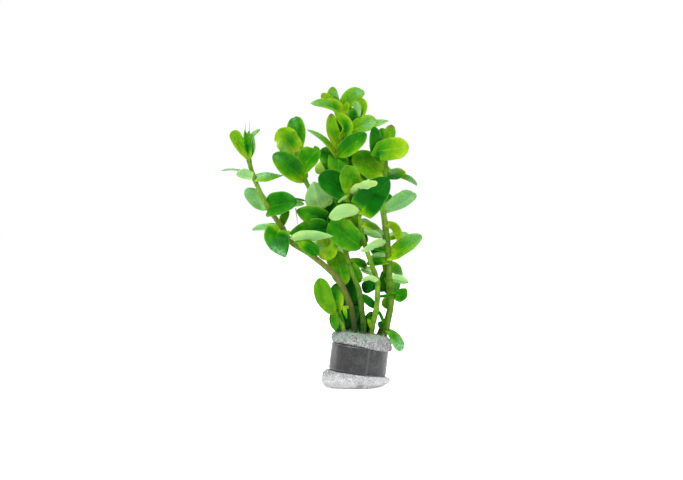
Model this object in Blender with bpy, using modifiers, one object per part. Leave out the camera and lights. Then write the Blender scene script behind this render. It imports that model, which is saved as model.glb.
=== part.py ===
"""Lemon bacopa bunch: nine leafy stems held upright by a foam wrap that a lead strip clamps round them.

Frame: +Z up, +X to the right and -Y to the front. The origin is on the flat underside of the foam wrap,
at its middle. Numbers are millimetres until they reach Blender, which gets metres.
"""

import math

import bmesh
import bpy
from mathutils import Matrix, Vector

MM = 0.001
GAP = 0.35

# The foam wrap: a soft round plug. It stands level, and above its flared foot it leans to the right
LEAN_DEG = 7.5
LEAN_BY = 7.2
AXIS_SLOPE = 0.13
AXIS_STEP = 1.0
FOAM_PROFILE = [
    # radius, height along the plug's axis, from the top centre down the outside
    (0.0, 26.6),
    (11.0, 26.6),
    (13.4, 25.8),
    (14.5, 24.2),
    (14.5, 22.4),
    (13.8, 20.9),
    (12.7, 20.7),
    (12.7, 7.3),
    (15.2, 7.0),
    (16.5, 5.3),
    (16.0, 2.6),
    (13.8, 0.8),
    (10.8, 0.0),
    (0.0, 0.0),
]
FOAM_SIDES = 28

# The lead strip goes once round the foam and laps over its own start
STRIP_WIDTH = 12.7
STRIP_THICKNESS = 0.9
STRIP_RADIUS = 13.6
STRIP_MIDDLE = 14.0
STRIP_LAP_DEG = 50.0
STRIP_END_DEG = 288.0
STRIP_RISE_DEG = 34.0
STRIP_SEGMENTS = 40

STEM_SIDES = 2
STEM_SEGMENTS = 15
# Radius of each stem at its foot and at its tip; the others have the plain one
STEM_RADII = {"left": (1.7, 1.0), "centre": (1.6, 1.0), "right": (1.9, 1.2)}
PLAIN_RADII = (1.5, 1.0)
CHANNEL_DEPTH = 3.0
LEAF_THICKNESS = 0.7
LEAF_CELLS_LONG = 5
LEAF_CELLS_WIDE = 4
MIDRIB_STEP = 0.1
BUD_SEGMENTS = 8
BUD_RINGS = 6
FINE_STEPS = 12

# Each stem's route from its cut end in the foam to its growing tip: right, back, up
STEMS = {
    "left": [
        (-3.4, -5.6, 1.0), (-2.0, -6.4, 14.0), (0.4, -7.2, 28.2), (-1.5, -8.4, 40.6), (-6.9, -9.3, 52.6),
        (-13.6, -9.5, 59.6), (-21.3, -9.2, 65.6), (-29.5, -8.2, 70.8), (-34.8, -7.4, 78.7),
        (-41.1, -6.4, 87.8), (-46.4, -6.0, 98.3), (-49.5, -6.0, 106.7), (-50.8, -6.0, 112.4),
    ],
    "upper_left": [
        (-4.6, 4.2, 1.0), (-3.6, 2.0, 14.0), (-3.4, -0.4, 28.0), (-4.0, -0.9, 38.0), (-5.9, -1.0, 50.0),
        (-8.8, -1.0, 61.5), (-12.2, -1.0, 74.0), (-15.6, -1.5, 87.5), (-21.4, -2.0, 97.5),
        (-24.3, -2.0, 103.4), (-26.3, -2.0, 108.7), (-27.7, -2.0, 115.5),
    ],
    "top": [
        (2.2, 1.6, 1.0), (2.4, 1.8, 14.0), (1.5, 2.0, 27.5), (0.0, 1.6, 40.0), (-3.4, 1.6, 55.0),
        (-7.4, 1.0, 67.5), (-9.3, 1.0, 79.5), (-9.8, 1.0, 91.5), (-9.8, 1.0, 101.5), (-8.3, 1.0, 112.0),
        (-4.9, 1.0, 118.5), (-3.0, 1.0, 125.0), (-3.3, 1.3, 133.2),
    ],
    "centre": [
        (1.2, -6.8, 1.0), (3.4, -6.4, 14.0), (5.0, -6.4, 28.8), (4.3, -6.5, 37.2), (3.1, -6.5, 46.7),
        (1.4, -6.3, 51.7), (-2.7, -5.5, 63.0), (-4.0, -5.0, 72.3), (-3.0, -4.3, 84.3), (-0.6, -4.6, 95.8),
        (-0.1, -5.0, 100.8),
    ],
    "middle_right": [
        (5.6, -4.6, 1.0), (7.4, -4.2, 14.0), (9.2, -4.2, 29.3), (11.4, -5.5, 39.2), (11.8, -6.0, 46.7),
        (11.6, -5.6, 52.7), (8.1, -5.0, 62.8), (4.7, -5.4, 73.3), (3.0, -6.6, 82.2), (3.6, -6.4, 87.2),
        (4.2, -4.4, 91.8),
    ],
    "right": [
        (7.6, 0.2, 1.0), (11.3, 0.4, 14.0), (15.4, 0.5, 27.0), (17.2, 0.5, 34.0), (18.3, 0.5, 41.0),
        (17.7, 0.3, 52.5), (17.3, 0.0, 64.0), (16.1, 0.0, 77.0), (14.8, 0.0, 86.0), (15.0, 0.0, 94.0),
        (15.8, 0.0, 103.0), (15.5, 0.0, 113.0),
    ],
    "low_left": [
        (-6.2, -1.8, 1.0), (-5.4, -3.6, 14.0), (-4.6, -5.6, 28.2), (-7.0, -7.0, 33.6),
        (-8.8, -8.2, 37.6),
    ],
    "back_right": [
        (5.0, 5.0, 1.0), (8.6, 6.0, 14.0), (13.4, 5.8, 27.0), (17.0, 7.5, 34.0), (18.6, 9.5, 42.0),
        (17.8, 11.5, 52.0), (16.4, 12.5, 62.0), (15.8, 13.0, 74.0), (15.0, 14.0, 88.0), (13.0, 15.0, 100.0),
    ],
    "back_left": [
        (0.0, 6.8, 1.0), (-0.6, 7.0, 14.0), (-1.4, 7.5, 27.0), (-1.8, 9.5, 37.0), (-3.4, 12.0, 50.0),
        (-5.4, 14.0, 64.0), (-7.9, 17.0, 78.0), (-9.9, 19.0, 93.0),
    ],
}

# Each leaf: height of its joint on the stem, its tip, its width, the way its upper side faces, then
# its arch (rise of the midrib over its length), its cup (rise of the margins over half its width)
# and its belly (where along its length it is widest), and last the points that its midrib passes
LEAVES = {
    "left": [
        (71.0, (-9.6, -16.0, 74.0), 8.0, (0.0, 0.7, 0.7), (0.06, 0.00, 0.46)),
        (78.7, (-49.2, -3.0, 77.0), 5.2, (0.0, 0.7, 0.8), (0.05, 0.12, 0.50)),
        (77.7, (-32.6, -16.5, 64.0), 12.4, (0.1, -0.9, 0.4), (0.04, 0.05, 0.40),
         (-35.8, -9.2, 77.4), (-37.0, -12.6, 72.2)),
        (88.2, (-52.0, -2.4, 97.3), 9.2, (0.3, 0.9, 0.3), (0.04, 0.05, 0.44), (-42.8, -3.0, 88.8)),
        (87.7, (-27.2, -14.0, 90.4), 12.8, (-0.1, -0.9, 0.4), (0.06, 0.05, 0.28)),
        (102.4, (-56.0, -12.0, 104.9), 5.8, (0.2, 0.9, 0.3), (0.04, 0.12, 0.50)),
        (103.4, (-64.4, 2.0, 105.9), 3.0, (0.0, 0.0, 1.0), (0.10, 0.05, 0.40)),
        (102.2, (-33.8, -5.5, 103.6), 6.6, (0.0, -0.7, 0.7), (0.02, 0.00, 0.36)),
    ],
    "upper_left": [
        (74.0, (-12.8, -6.6, 62.2), 10.6, (0.0, -0.9, 0.3), (0.08, 0.05, 0.55)),
        (65.5, (-4.6, -5.0, 50.0), 9.0, (0.0, -1.0, 0.1), (0.02, 0.00, 0.55), (-6.4, -3.4, 58.0)),
        (77.5, (-30.8, -7.5, 75.8), 7.8, (0.0, -0.9, 0.5), (0.08, 0.10, 0.55)),
        (83.4, (-27.4, -8.5, 86.2), 8.2, (0.0, -1.0, 0.0), (0.06, 0.08, 0.56)),
        (87.6, (-19.2, -9.0, 100.6), 12.6, (0.0, 1.0, 0.2), (0.04, 0.00, 0.46)),
        (101.6, (-38.8, -12.5, 113.6), 11.2, (0.1, -1.0, 0.2), (0.06, 0.12, 0.54)),
        (106.4, (-16.5, -6.0, 116.9), 10.0, (-0.2, -0.9, 0.4), (0.04, 0.10, 0.60)),
        (114.2, (-36.2, -8.0, 125.9), 12.0, (0.1, -1.0, 0.1), (0.04, 0.12, 0.60)),
        (114.0, (-29.2, 2.5, 131.8), 9.4, (-0.3, -0.9, 0.3), (0.06, 0.20, 0.62)),
    ],
    "top": [
        (112.6, (-22.6, -3.0, 125.8), 4.4, (0.5, -0.7, 0.5), (0.14, 0.10, 0.42)),
        (111.2, (6.6, -10.0, 123.6), 8.8, (-0.1, -1.0, 0.2), (0.05, 0.18, 0.50)),
        (116.6, (-10.6, -6.6, 132.8), 6.4, (0.1, -1.0, 0.2), (0.04, 0.20, 0.50), (-10.2, -5.0, 125.6)),
        (124.8, (11.4, -4.6, 130.9), 7.6, (-0.2, -0.9, 0.4), (0.05, 0.10, 0.58)),
        (130.4, (-20.6, -7.0, 138.4), 6.4, (0.1, -0.8, 0.6), (0.02, 0.12, 0.46), (-10.6, -4.6, 137.2)),
        (131.6, (-10.0, -0.8, 146.8), 5.6, (0.2, -1.0, 0.2), (0.04, 0.10, 0.62),
         (-6.4, 1.6, 134.8), (-10.0, 0.4, 141.2)),
        (131.2, (5.2, 6.0, 145.0), 8.6, (-0.3, -0.9, 0.3), (0.04, 0.15, 0.56), (-1.2, 4.0, 140.4)),
    ],
    "centre": [
        (95.2, (11.8, -21.0, 101.2), 4.4, (-0.2, 0.5, 0.9), (0.06, 0.00, 0.58)),
        (94.4, (-16.8, -11.0, 103.0), 13.4, (0.1, -0.9, 0.3), (0.05, 0.08, 0.52)),
        (99.6, (-3.4, -16.0, 108.2), 10.6, (0.0, -0.9, 0.4), (0.06, 0.10, 0.52)),
    ],
    "middle_right": [
        (70.3, (-11.4, -9.4, 80.4), 11.6, (-0.1, -0.9, 0.1), (0.05, 0.05, 0.58), (2.4, -7.4, 69.8)),
        (86.2, (-11.2, -17.5, 84.8), 7.2, (0.0, 0.85, 0.5), (0.02, 0.05, 0.54)),
        (87.0, (17.4, -11.0, 101.8), 12.4, (-0.25, -1.0, 0.1), (0.05, 0.08, 0.55)),
    ],
    "right": [
        (28.6, (23.2, -5.0, 18.0), 6.6, (0.35, -0.85, 0.4), (0.12, 0.05, 0.68)),
        (45.2, (26.2, -9.0, 45.6), 6.6, (-0.2, -0.9, 0.4), (0.04, 0.10, 0.80)),
        (64.0, (33.3, -8.0, 74.2), 9.8, (-0.3, -0.8, 0.5), (0.05, 0.12, 0.50)),
        (71.0, (3.8, -16.5, 67.2), 6.4, (0.0, 0.85, 0.5), (0.06, 0.00, 0.45)),
        (86.0, (29.4, -6.0, 95.0), 9.4, (-0.2, 0.8, 0.5), (0.05, 0.10, 0.66)),
        (102.6, (-0.6, -2.0, 113.6), 10.6, (0.1, -0.9, 0.4), (0.05, 0.08, 0.52)),
        (103.4, (31.2, 4.0, 98.8), 3.6, (0.3, -0.8, 0.5), (0.22, 0.05, 0.60)),
        (111.0, (27.0, -9.0, 118.8), 10.4, (0.0, -1.0, 0.2), (0.02, 0.10, 0.56)),
        (110.8, (9.8, -5.5, 126.9), 6.6, (0.2, -1.0, 0.2), (0.04, 0.08, 0.60)),
    ],
    "low_left": [
        (36.6, (-16.8, -15.5, 54.0), 8.8, (0.1, -1.0, 0.1), (0.05, 0.05, 0.60)),
        (37.2, (-9.8, -6.4, 51.0), 5.8, (-0.1, -1.0, 0.1), (0.03, 0.00, 0.55)),
    ],
    "back_right": [
        (73.0, (29.0, 22.0, 71.0), 8.5, (-0.4, 0.2, 0.9), (0.08, 0.12, 0.55)),
        (86.0, (14.0, 31.0, 94.0), 10.5, (0.0, -0.5, 0.9), (0.08, 0.12, 0.55)),
    ],
    "back_left": [
        (63.0, (-20.0, 24.0, 70.0), 9.5, (0.4, 0.0, 0.9), (0.08, 0.12, 0.55)),
        (77.0, (-9.0, 34.0, 86.0), 10.5, (0.0, -0.5, 0.9), (0.08, 0.12, 0.55)),
    ],
}

# Each growing tip: the folded young leaves there, as one closed bud from the stem's end to their tips
BUDS = {
    # far end, widest radius, how far along it that is
    "left": ((-51.8, -6.2, 129.5), 5.2, 0.68),
    "right": ((18.2, 3.0, 128.0), 2.6, 0.60),
    "back_right": ((11.5, 16.5, 118.0), 4.0, 0.60),
    "back_left": ((-12.0, 20.5, 112.0), 4.0, 0.60),
}

LEAF_GREEN = (0.05, 0.22, 0.02, 1.0)
BUD_GREEN = (0.12, 0.32, 0.03, 1.0)
STEM_GREEN = (0.22, 0.38, 0.05, 1.0)
FOAM_GREY = (0.62, 0.62, 0.63, 1.0)
LEAD_GREY = (0.10, 0.10, 0.105, 1.0)


def material(name, colour, roughness, metallic=0.0):
    made = bpy.data.materials.new(name)
    made.use_nodes = True
    shader = made.node_tree.nodes["Principled BSDF"]
    shader.inputs["Base Color"].default_value = colour
    shader.inputs["Roughness"].default_value = roughness
    shader.inputs["Metallic"].default_value = metallic
    return made


def collection(name):
    made = bpy.data.collections.new(name)
    bpy.context.scene.collection.children.link(made)
    return made


def add(name, data, home, finish=None):
    made = bpy.data.objects.new(name, data)
    home.objects.link(made)
    if finish:
        data.materials.append(finish)
    return made


def mesh_from(shape, name):
    """A mesh from a finished bmesh, its faces pointing out."""
    bmesh.ops.recalc_face_normals(shape, faces=shape.faces)
    data = bpy.data.meshes.new(name)
    shape.to_mesh(data)
    shape.free()
    return data


def ease(t):
    t = min(max(t, 0.0), 1.0)
    return t * t * (3 - 2 * t)


def plug_axis(height):
    """The middle of the plug at this height along its axis, and how far its rings lean there."""
    middle = Vector((AXIS_SLOPE * height + AXIS_STEP * ease(height / LEAN_BY), 0.0, height))
    return middle, math.radians(LEAN_DEG) * ease(height / LEAN_BY)


def spline_through(points, steps):
    """A smooth line through the points (Catmull-Rom), with this many steps from each to the next."""
    knots = [Vector(p) for p in points]
    ends = [2 * knots[0] - knots[1]] + knots + [2 * knots[-1] - knots[-2]]
    line = []
    for a, b, c, d in zip(ends, ends[1:], ends[2:], ends[3:]):
        for i in range(steps):
            t = i / steps
            bend = (2 * a - 5 * b + 4 * c - d) * t * t + (3 * b - a - 3 * c + d) * t**3
            line.append(0.5 * (2 * b + (c - a) * t + bend))
    return line + [knots[-1]]


def along(line, share):
    """The point that lies this share of the way along a line of points."""
    lengths = [(b - a).length for a, b in zip(line, line[1:])]
    left = share * sum(lengths)
    for a, b, length in zip(line, line[1:], lengths):
        if left <= length:
            return a.lerp(b, left / length)
        left -= length
    return line[-1]


def stem_line(stem):
    fine = spline_through(STEMS[stem], FINE_STEPS)
    return [along(fine, i / STEM_SEGMENTS) for i in range(STEM_SEGMENTS + 1)]


def stem_radius(stem, share):
    foot, tip = STEM_RADII.get(stem, PLAIN_RADII)
    return foot + (tip - foot) * share


def tube(name, stem, line, extra, home, finish=None):
    """A tapering tube on a line of points, thicker by extra all round than this stem."""
    data = bpy.data.curves.new(name, "CURVE")
    data.dimensions = "3D"
    data.bevel_depth = MM
    data.bevel_resolution = STEM_SIDES
    data.use_fill_caps = True
    spline = data.splines.new("POLY")
    spline.points.add(len(line) - 1)
    for i, (point, place) in enumerate(zip(spline.points, line)):
        point.co = (*(place * MM), 1.0)
        point.radius = stem_radius(stem, i / (len(line) - 1)) + extra
    return add(name, data, home, finish)


def stem_joint(stem, height):
    """Centre, direction and radius of a stem where it reaches this height."""
    line = stem_line(stem)
    for i, (a, b) in enumerate(zip(line, line[1:])):
        if b.z >= height:
            t = (height - a.z) / (b.z - a.z)
            return a.lerp(b, t), (b - a).normalized(), stem_radius(stem, (i + t) / STEM_SEGMENTS)
    return line[-1], (line[-1] - line[-2]).normalized(), stem_radius(stem, 1.0)


def belly_share(even, belly):
    """An even share of a length, moved so that the half way point lands at the belly."""
    return even ** (math.log(belly) / math.log(0.5))


def midrib(stem, height, points):
    """The line of a leaf's midrib: from its foot just clear of the stem through the points to its tip."""
    centre, direction, radius = stem_joint(stem, height)
    outward = Vector(points[0]) - centre
    outward -= direction * outward.dot(direction)
    foot = centre + outward.normalized() * (radius + GAP + LEAF_THICKNESS / 2)
    return spline_through([foot, *points], FINE_STEPS)


def leaf(name, stem, row, home, finish):
    """A square grid drawn into an oval blade, widest at its belly, then arched, cupped and thickened."""
    height, tip, width, faces, (arch, cup, belly), *passed = row
    line = midrib(stem, height, [*passed, tip])
    length = (line[-1] - line[0]).length
    shape = bmesh.new()
    bmesh.ops.create_grid(shape, x_segments=LEAF_CELLS_LONG, y_segments=LEAF_CELLS_WIDE, size=1.0)
    for vertex in shape.verts:
        u, v = vertex.co.x, vertex.co.y
        share = belly_share((1 + u * math.sqrt(1 - v * v / 2)) / 2, belly)
        across = v * math.sqrt(1 - u * u / 2)
        lift = arch * length * 4 * share * (1 - share) + cup * width / 2 * across * across
        ahead = along(line, min(share + MIDRIB_STEP, 1.0)) - along(line, max(share - MIDRIB_STEP, 0.0))
        side = Vector(faces).cross(ahead).normalized()
        normal = ahead.cross(side).normalized()
        vertex.co = (along(line, share) + side * (across * width / 2) + normal * lift) * MM
    data = mesh_from(shape, name)
    data.shade_smooth()
    made = add(name, data, home, finish)
    blade = made.modifiers.new("blade", "SOLIDIFY")
    blade.thickness = LEAF_THICKNESS * MM
    blade.offset = 0.0
    return made


def bud(name, stem, row, home, finish):
    """A closed spindle from just past the stem's end to the tips of the leaves folded there."""
    end, radius, belly = row
    line = stem_line(stem)
    start = line[-1] + (line[-1] - line[-2]).normalized() * GAP
    axis = Vector(end) - start
    turn = axis.to_track_quat("Z", "Y").to_matrix()
    shape = bmesh.new()
    bmesh.ops.create_uvsphere(shape, u_segments=BUD_SEGMENTS, v_segments=BUD_RINGS, radius=1.0)
    for vertex in shape.verts:
        rise = belly_share(max((vertex.co.z + 1) / 2, 0.0), belly) * axis.length
        vertex.co = (start + turn @ Vector((vertex.co.x * radius, vertex.co.y * radius, rise))) * MM
    data = mesh_from(shape, name)
    data.shade_smooth()
    return add(name, data, home, finish)


def as_cutter(stem, line, name, home):
    """The channel that a stem lies in, as a welded mesh ready to cut with."""
    source = tube(name + "_curve", stem, line, GAP, home)
    graph = bpy.context.evaluated_depsgraph_get()
    data = bpy.data.meshes.new_from_object(source.evaluated_get(graph))
    bpy.data.objects.remove(source)
    shape = bmesh.new()
    shape.from_mesh(data)
    bmesh.ops.remove_doubles(shape, verts=shape.verts, dist=0.01 * MM)
    made = add(name, mesh_from(shape, name), home)
    made.hide_render = True
    made.display_type = "WIRE"
    return made


def foam_wrap(home, cutters, finish):
    """The soft plug: its profile spun round, its rings leant over, pierced by the stems."""
    shape = bmesh.new()
    profile = [shape.verts.new((radius, 0.0, height)) for radius, height in FOAM_PROFILE]
    edges = [shape.edges.new(pair) for pair in zip(profile, profile[1:])]
    bmesh.ops.spin(
        shape, geom=profile + edges, axis=(0, 0, 1), cent=(0, 0, 0), steps=FOAM_SIDES, angle=math.tau
    )
    bmesh.ops.remove_doubles(shape, verts=shape.verts, dist=0.01)
    for vertex in shape.verts:
        middle, lean = plug_axis(vertex.co.z)
        ring = Vector((vertex.co.x, vertex.co.y, 0.0))
        vertex.co = (middle + Matrix.Rotation(lean, 3, "Y") @ ring) * MM
    foam = add("foam_wrap", mesh_from(shape, "foam_wrap"), home, finish)
    for stem in STEMS:
        line = stem_line(stem)
        line[0] = line[0] + (line[0] - line[1]).normalized() * CHANNEL_DEPTH
        channel = foam.modifiers.new("channel_" + stem, "BOOLEAN")
        channel.operation = "DIFFERENCE"
        channel.object = as_cutter(stem, line, "channel_" + stem, cutters)
    return foam


def strip_radius(turned):
    """The strip's radius after so many degrees: it steps out where it laps over its own start."""
    rise = ease((turned - 360.0 + STRIP_RISE_DEG) / STRIP_RISE_DEG)
    return STRIP_RADIUS + (STRIP_THICKNESS + GAP) * rise


def lead_strip(home, finish):
    """The flat strip wound round the plug: an open ribbon standing on its long edge, thickened."""
    data = bpy.data.curves.new("lead_strip", "CURVE")
    data.dimensions = "3D"
    data.extrude = STRIP_WIDTH / 2 * MM
    total = 360.0 + STRIP_LAP_DEG
    spline = data.splines.new("POLY")
    spline.points.add(STRIP_SEGMENTS)
    for i, point in enumerate(spline.points):
        turned = total * i / STRIP_SEGMENTS
        angle = math.radians(STRIP_END_DEG - total + turned)
        radius = strip_radius(turned)
        point.co = (radius * math.cos(angle) * MM, radius * math.sin(angle) * MM, 0.0, 1.0)
    strip = add("lead_strip", data, home, finish)
    middle, lean = plug_axis(STRIP_MIDDLE)
    strip.matrix_world = Matrix.Translation(middle * MM) @ Matrix.Rotation(lean, 4, "Y")
    sheet = strip.modifiers.new("sheet", "SOLIDIFY")
    sheet.thickness = STRIP_THICKNESS * MM
    sheet.offset = 0.0
    return strip


def main():
    for old in list(bpy.data.objects):
        bpy.data.objects.remove(old)
    home = collection("lemon_bacopa_bunch")
    cutters = collection("cutters")
    leaf_finish = material("leaf", LEAF_GREEN, 0.45)
    bud_finish = material("bud", BUD_GREEN, 0.45)
    stem_finish = material("stem", STEM_GREEN, 0.5)
    foam_wrap(home, cutters, material("foam", FOAM_GREY, 0.95))
    lead_strip(home, material("lead", LEAD_GREY, 0.55, 0.6))
    for stem in STEMS:
        tube("stem_" + stem, stem, stem_line(stem), 0.0, home, stem_finish)
        for number, row in enumerate(LEAVES[stem], 1):
            leaf(f"leaf_{stem}_{number:02d}", stem, row, home, leaf_finish)
    for stem, row in BUDS.items():
        bud("bud_" + stem, stem, row, home, bud_finish)


main()
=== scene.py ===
"""Lemon bacopa bunch: the fine surfaces, materials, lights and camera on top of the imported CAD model.

Lengths in the tables are millimetres in the part's frame: +X right, +Y back, +Z up.
"""

import math
import random
from types import SimpleNamespace

import bpy
import numpy as np
from mathutils import Matrix, Vector, noise


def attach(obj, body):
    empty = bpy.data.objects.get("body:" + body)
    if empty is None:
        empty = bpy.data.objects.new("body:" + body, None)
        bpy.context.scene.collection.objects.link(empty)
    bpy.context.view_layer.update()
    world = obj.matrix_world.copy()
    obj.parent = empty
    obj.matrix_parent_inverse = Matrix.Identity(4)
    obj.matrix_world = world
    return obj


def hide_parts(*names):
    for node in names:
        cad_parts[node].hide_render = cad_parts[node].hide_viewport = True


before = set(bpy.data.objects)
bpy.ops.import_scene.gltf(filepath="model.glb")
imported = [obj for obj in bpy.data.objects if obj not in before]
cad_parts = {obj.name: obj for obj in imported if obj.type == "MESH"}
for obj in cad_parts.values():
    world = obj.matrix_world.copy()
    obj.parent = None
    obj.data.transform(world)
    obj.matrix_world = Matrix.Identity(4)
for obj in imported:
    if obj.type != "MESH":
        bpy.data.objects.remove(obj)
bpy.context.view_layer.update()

MM = 0.001
SPLINE_STEPS = 12

# The design: the same routes and leaves as the CAD model, with the shapes that only show up close

# Points along each stem, from the foam to its tip
STEMS = {
    "left": [(-3.4, -5.6, 1), (-2, -6.4, 14), (0.4, -7.2, 28.2), (-1.5, -8.4, 40.6), (-6.9, -9.3, 52.6),
        (-13.6, -9.5, 59.6), (-21.3, -9.2, 65.6), (-29.5, -8.2, 70.8), (-34.8, -7.4, 78.7),
        (-41.1, -6.4, 87.8), (-46.4, -6, 98.3), (-49.5, -6, 106.7), (-50.8, -6, 112.4)],
    "upper_left": [(-4.6, 4.2, 1), (-3.6, 2, 14), (-3.4, -0.4, 28), (-4, -0.9, 38), (-5.9, -1, 50),
        (-8.8, -1, 61.5), (-12.2, -1, 74), (-15.6, -1.5, 87.5), (-21.4, -2, 97.5), (-24.3, -2, 103.4),
        (-26.3, -2, 108.7), (-27.7, -2, 115.5)],
    "top": [(2.2, 1.6, 1), (2.4, 1.8, 14), (1.5, 2, 27.5), (0, 1.6, 40), (-3.4, 1.6, 55), (-7.4, 1, 67.5),
        (-9.3, 1, 79.5), (-9.8, 1, 91.5), (-9.8, 1, 101.5), (-8.3, 1, 112), (-4.9, 1, 118.5), (-3, 1, 125),
        (-3.3, 1.3, 133.2)],
    "centre": [(1.2, -6.8, 1), (3.4, -6.4, 14), (5, -6.4, 28.8), (4.3, -6.5, 37.2), (3.1, -6.5, 46.7),
        (1.4, -6.3, 51.7), (-2.7, -5.5, 63), (-4, -5, 72.3), (-3, -4.3, 84.3), (-0.6, -4.6, 95.8),
        (-0.1, -5, 100.8)],
    "middle_right": [(5.6, -4.6, 1), (7.4, -4.2, 14), (9.2, -4.2, 29.3), (11.4, -5.5, 39.2), (11.8, -6, 46.7),
        (11.6, -5.6, 52.7), (8.1, -5, 62.8), (4.7, -5.4, 73.3), (3, -6.6, 82.2), (3.6, -6.4, 87.2),
        (4.2, -4.4, 91.8)],
    "right": [(7.6, 0.2, 1), (11.3, 0.4, 14), (15.4, 0.5, 27), (17.2, 0.5, 34), (18.3, 0.5, 41),
        (17.7, 0.3, 52.5), (17.3, 0, 64), (16.1, 0, 77), (14.8, 0, 86), (15, 0, 94), (15.8, 0, 103),
        (15.5, 0, 113)],
    "low_left": [(-6.2, -1.8, 1), (-5.4, -3.6, 14), (-4.6, -5.6, 28.2), (-7, -7, 33.6), (-8.8, -8.2, 37.6)],
    "back_right": [(5, 5, 1), (8.6, 6, 14), (13.4, 5.8, 27), (17, 7.5, 34), (18.6, 9.5, 42), (17.8, 11.5, 52),
        (16.4, 12.5, 62), (15.8, 13, 74), (15, 14, 88), (13, 15, 100)],
    "back_left": [(0, 6.8, 1), (-0.6, 7, 14), (-1.4, 7.5, 27), (-1.8, 9.5, 37), (-3.4, 12, 50),
        (-5.4, 14, 64), (-7.9, 17, 78), (-9.9, 19, 93)],
    "side_shoot": [(-3, 1, 124.6), (-1.2, 0.6, 126.6), (1.2, -0.2, 129.2), (3, -1, 132.2)],
}

# (arch, cup, belly) of a leaf: how far it arches, how hollow it is, and where along it is widest
FLAT, CUPPED, CLOSED = (0.03, 0.05, 0.5), (0.08, 0.12, 0.55), (0, 0, 0.5)
FRONT = (0, -1, 0.1)

# How a leaf looks where its row says nothing else
PLAIN_LOOK = dict(
    brown=0.0, brown_side=0, bloom=0.0, fold=0.24, bend=0.0, ripple=0.02, point=0.1, base=0.5, taper=0.0,
    halves=0.0, foot=0.3, foot_reach=0.45, via=(), start=None, bites=(), spots=(), frosts=(),
)


def leaf(height, tip, width, faces, form, tone, **look):
    """One leaf, by its joint's height, its tip, its width, the way its upper side faces, form and looks.

    tone goes from 0, dark green, to 1, yellow green. halves is painted light and shade across the fold:
    it adds to the tone on the left half, seen from above and from foot to tip, and takes it off the right.
    foot adds to it near the stem, over the share foot_reach. spots add to it at places (left, along, size,
    amount), and frosts add a painted pale sheen in the same way, as bloom does towards the
    tip. brown is a scorched margin, mostly on brown_side if that is given. fold is a V across the midrib,
    bend swings the midrib to the left and ripple waves the margins.
    point sharpens the tip, base is the width at the foot, and taper narrows the leaf towards it. via are
    points that the midrib passes, start is its foot where that isn't on the stem's side, and bites are
    nibbled places (side, along, depth, length).
    """
    arch, cup, belly = form
    given = dict(height=height, tip=tip, width=width, faces=faces, arch=arch, cup=cup, belly=belly, tone=tone)
    return SimpleNamespace(**{**PLAIN_LOOK, **look, **given})


def filler(height, tip, width, tone, up=0.1, form=FLAT, **look):
    """A small leaf between the stems, facing the front, as dark at its foot as elsewhere; the dark ones paint
    the deep shade among the stems.
    """
    return leaf(height, tip, width, (0, -1, up), form, tone, foot=0, **look)


def closed(height, tip, width, tone, faces=FRONT, **look):
    """One of the young leaves at a stem's end that are still folded together."""
    return leaf(height, tip, width, faces, CLOSED, tone, fold=0.9, **look)


LEAVES = {}

LEAVES["left"] = [
    leaf(71, (-9.6, -16, 74), 8.6, (0, 0.7, 0.7), (0.06, 0.1, 0.3), 0.55, point=1, base=0.6),
    leaf(78.7, (-49.2, -3, 77), 5.2, (0, 0.7, 0.8), (0.05, 0.12, 0.5), 0.4, point=0.4,
         frosts=[(0, 0.6, 1.2, 0.6)]),
    leaf(77.7, (-32.6, -16.5, 64), 12.4, (0.1, -0.9, 0.4), (0.04, 0.05, 0.4), 0.1, halves=-0.12, base=0.5,
         taper=-0.35, point=0.9, foot=0.5, foot_reach=0.22, fold=0.35, start=(-35.8, -9.2, 77.4),
         via=[(-37, -12.6, 72.2)], frosts=[(-0.6, 0.8, 0.5, 0.8), (0, 1, 0.4, 0.8)]),
    leaf(88.2, (-52, -2.4, 97.3), 9.2, (0.3, 0.9, 0.3), (0.04, 0.05, 0.44), 0.2, base=0.5, foot=0.35,
         bend=-0.1, start=(-42.2, -4, 88.6), spots=[(-0.6, 0.25, 0.5, -0.3)], frosts=[(0.3, 0.8, 0.7, 0.4)]),
    leaf(87.7, (-27.2, -14, 90.4), 12.8, (-0.1, -0.9, 0.4), (0.06, 0.05, 0.28), 0.12, base=0.62, point=0.1,
         foot=0.12, fold=0.3, halves=-0.06),
    leaf(102.4, (-56, -12, 104.9), 5.8, (0.2, 0.9, 0.3), (0.04, 0.12, 0.5), 0.6, point=0.2, base=0.4,
         frosts=[(0.4, 0.6, 0.9, 0.5)]),
    leaf(103.4, (-64.4, 2, 105.9), 3, (0, 0, 1), (0.1, 0.05, 0.4), 0.25, point=1, brown=0.5,
         frosts=[(0, 0.7, 1.4, 0.8)]),
    leaf(102.2, (-33.8, -5.5, 103.6), 6.6, (0, -0.7, 0.7), (0.02, -0.3, 0.36), 0.36, point=1.3,
         frosts=[(0.35, 0.35, 0.5, 0.9), (0, 0, 0.6, 0.7), (0, 1, 0.5, 0.8)]),
]
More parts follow.
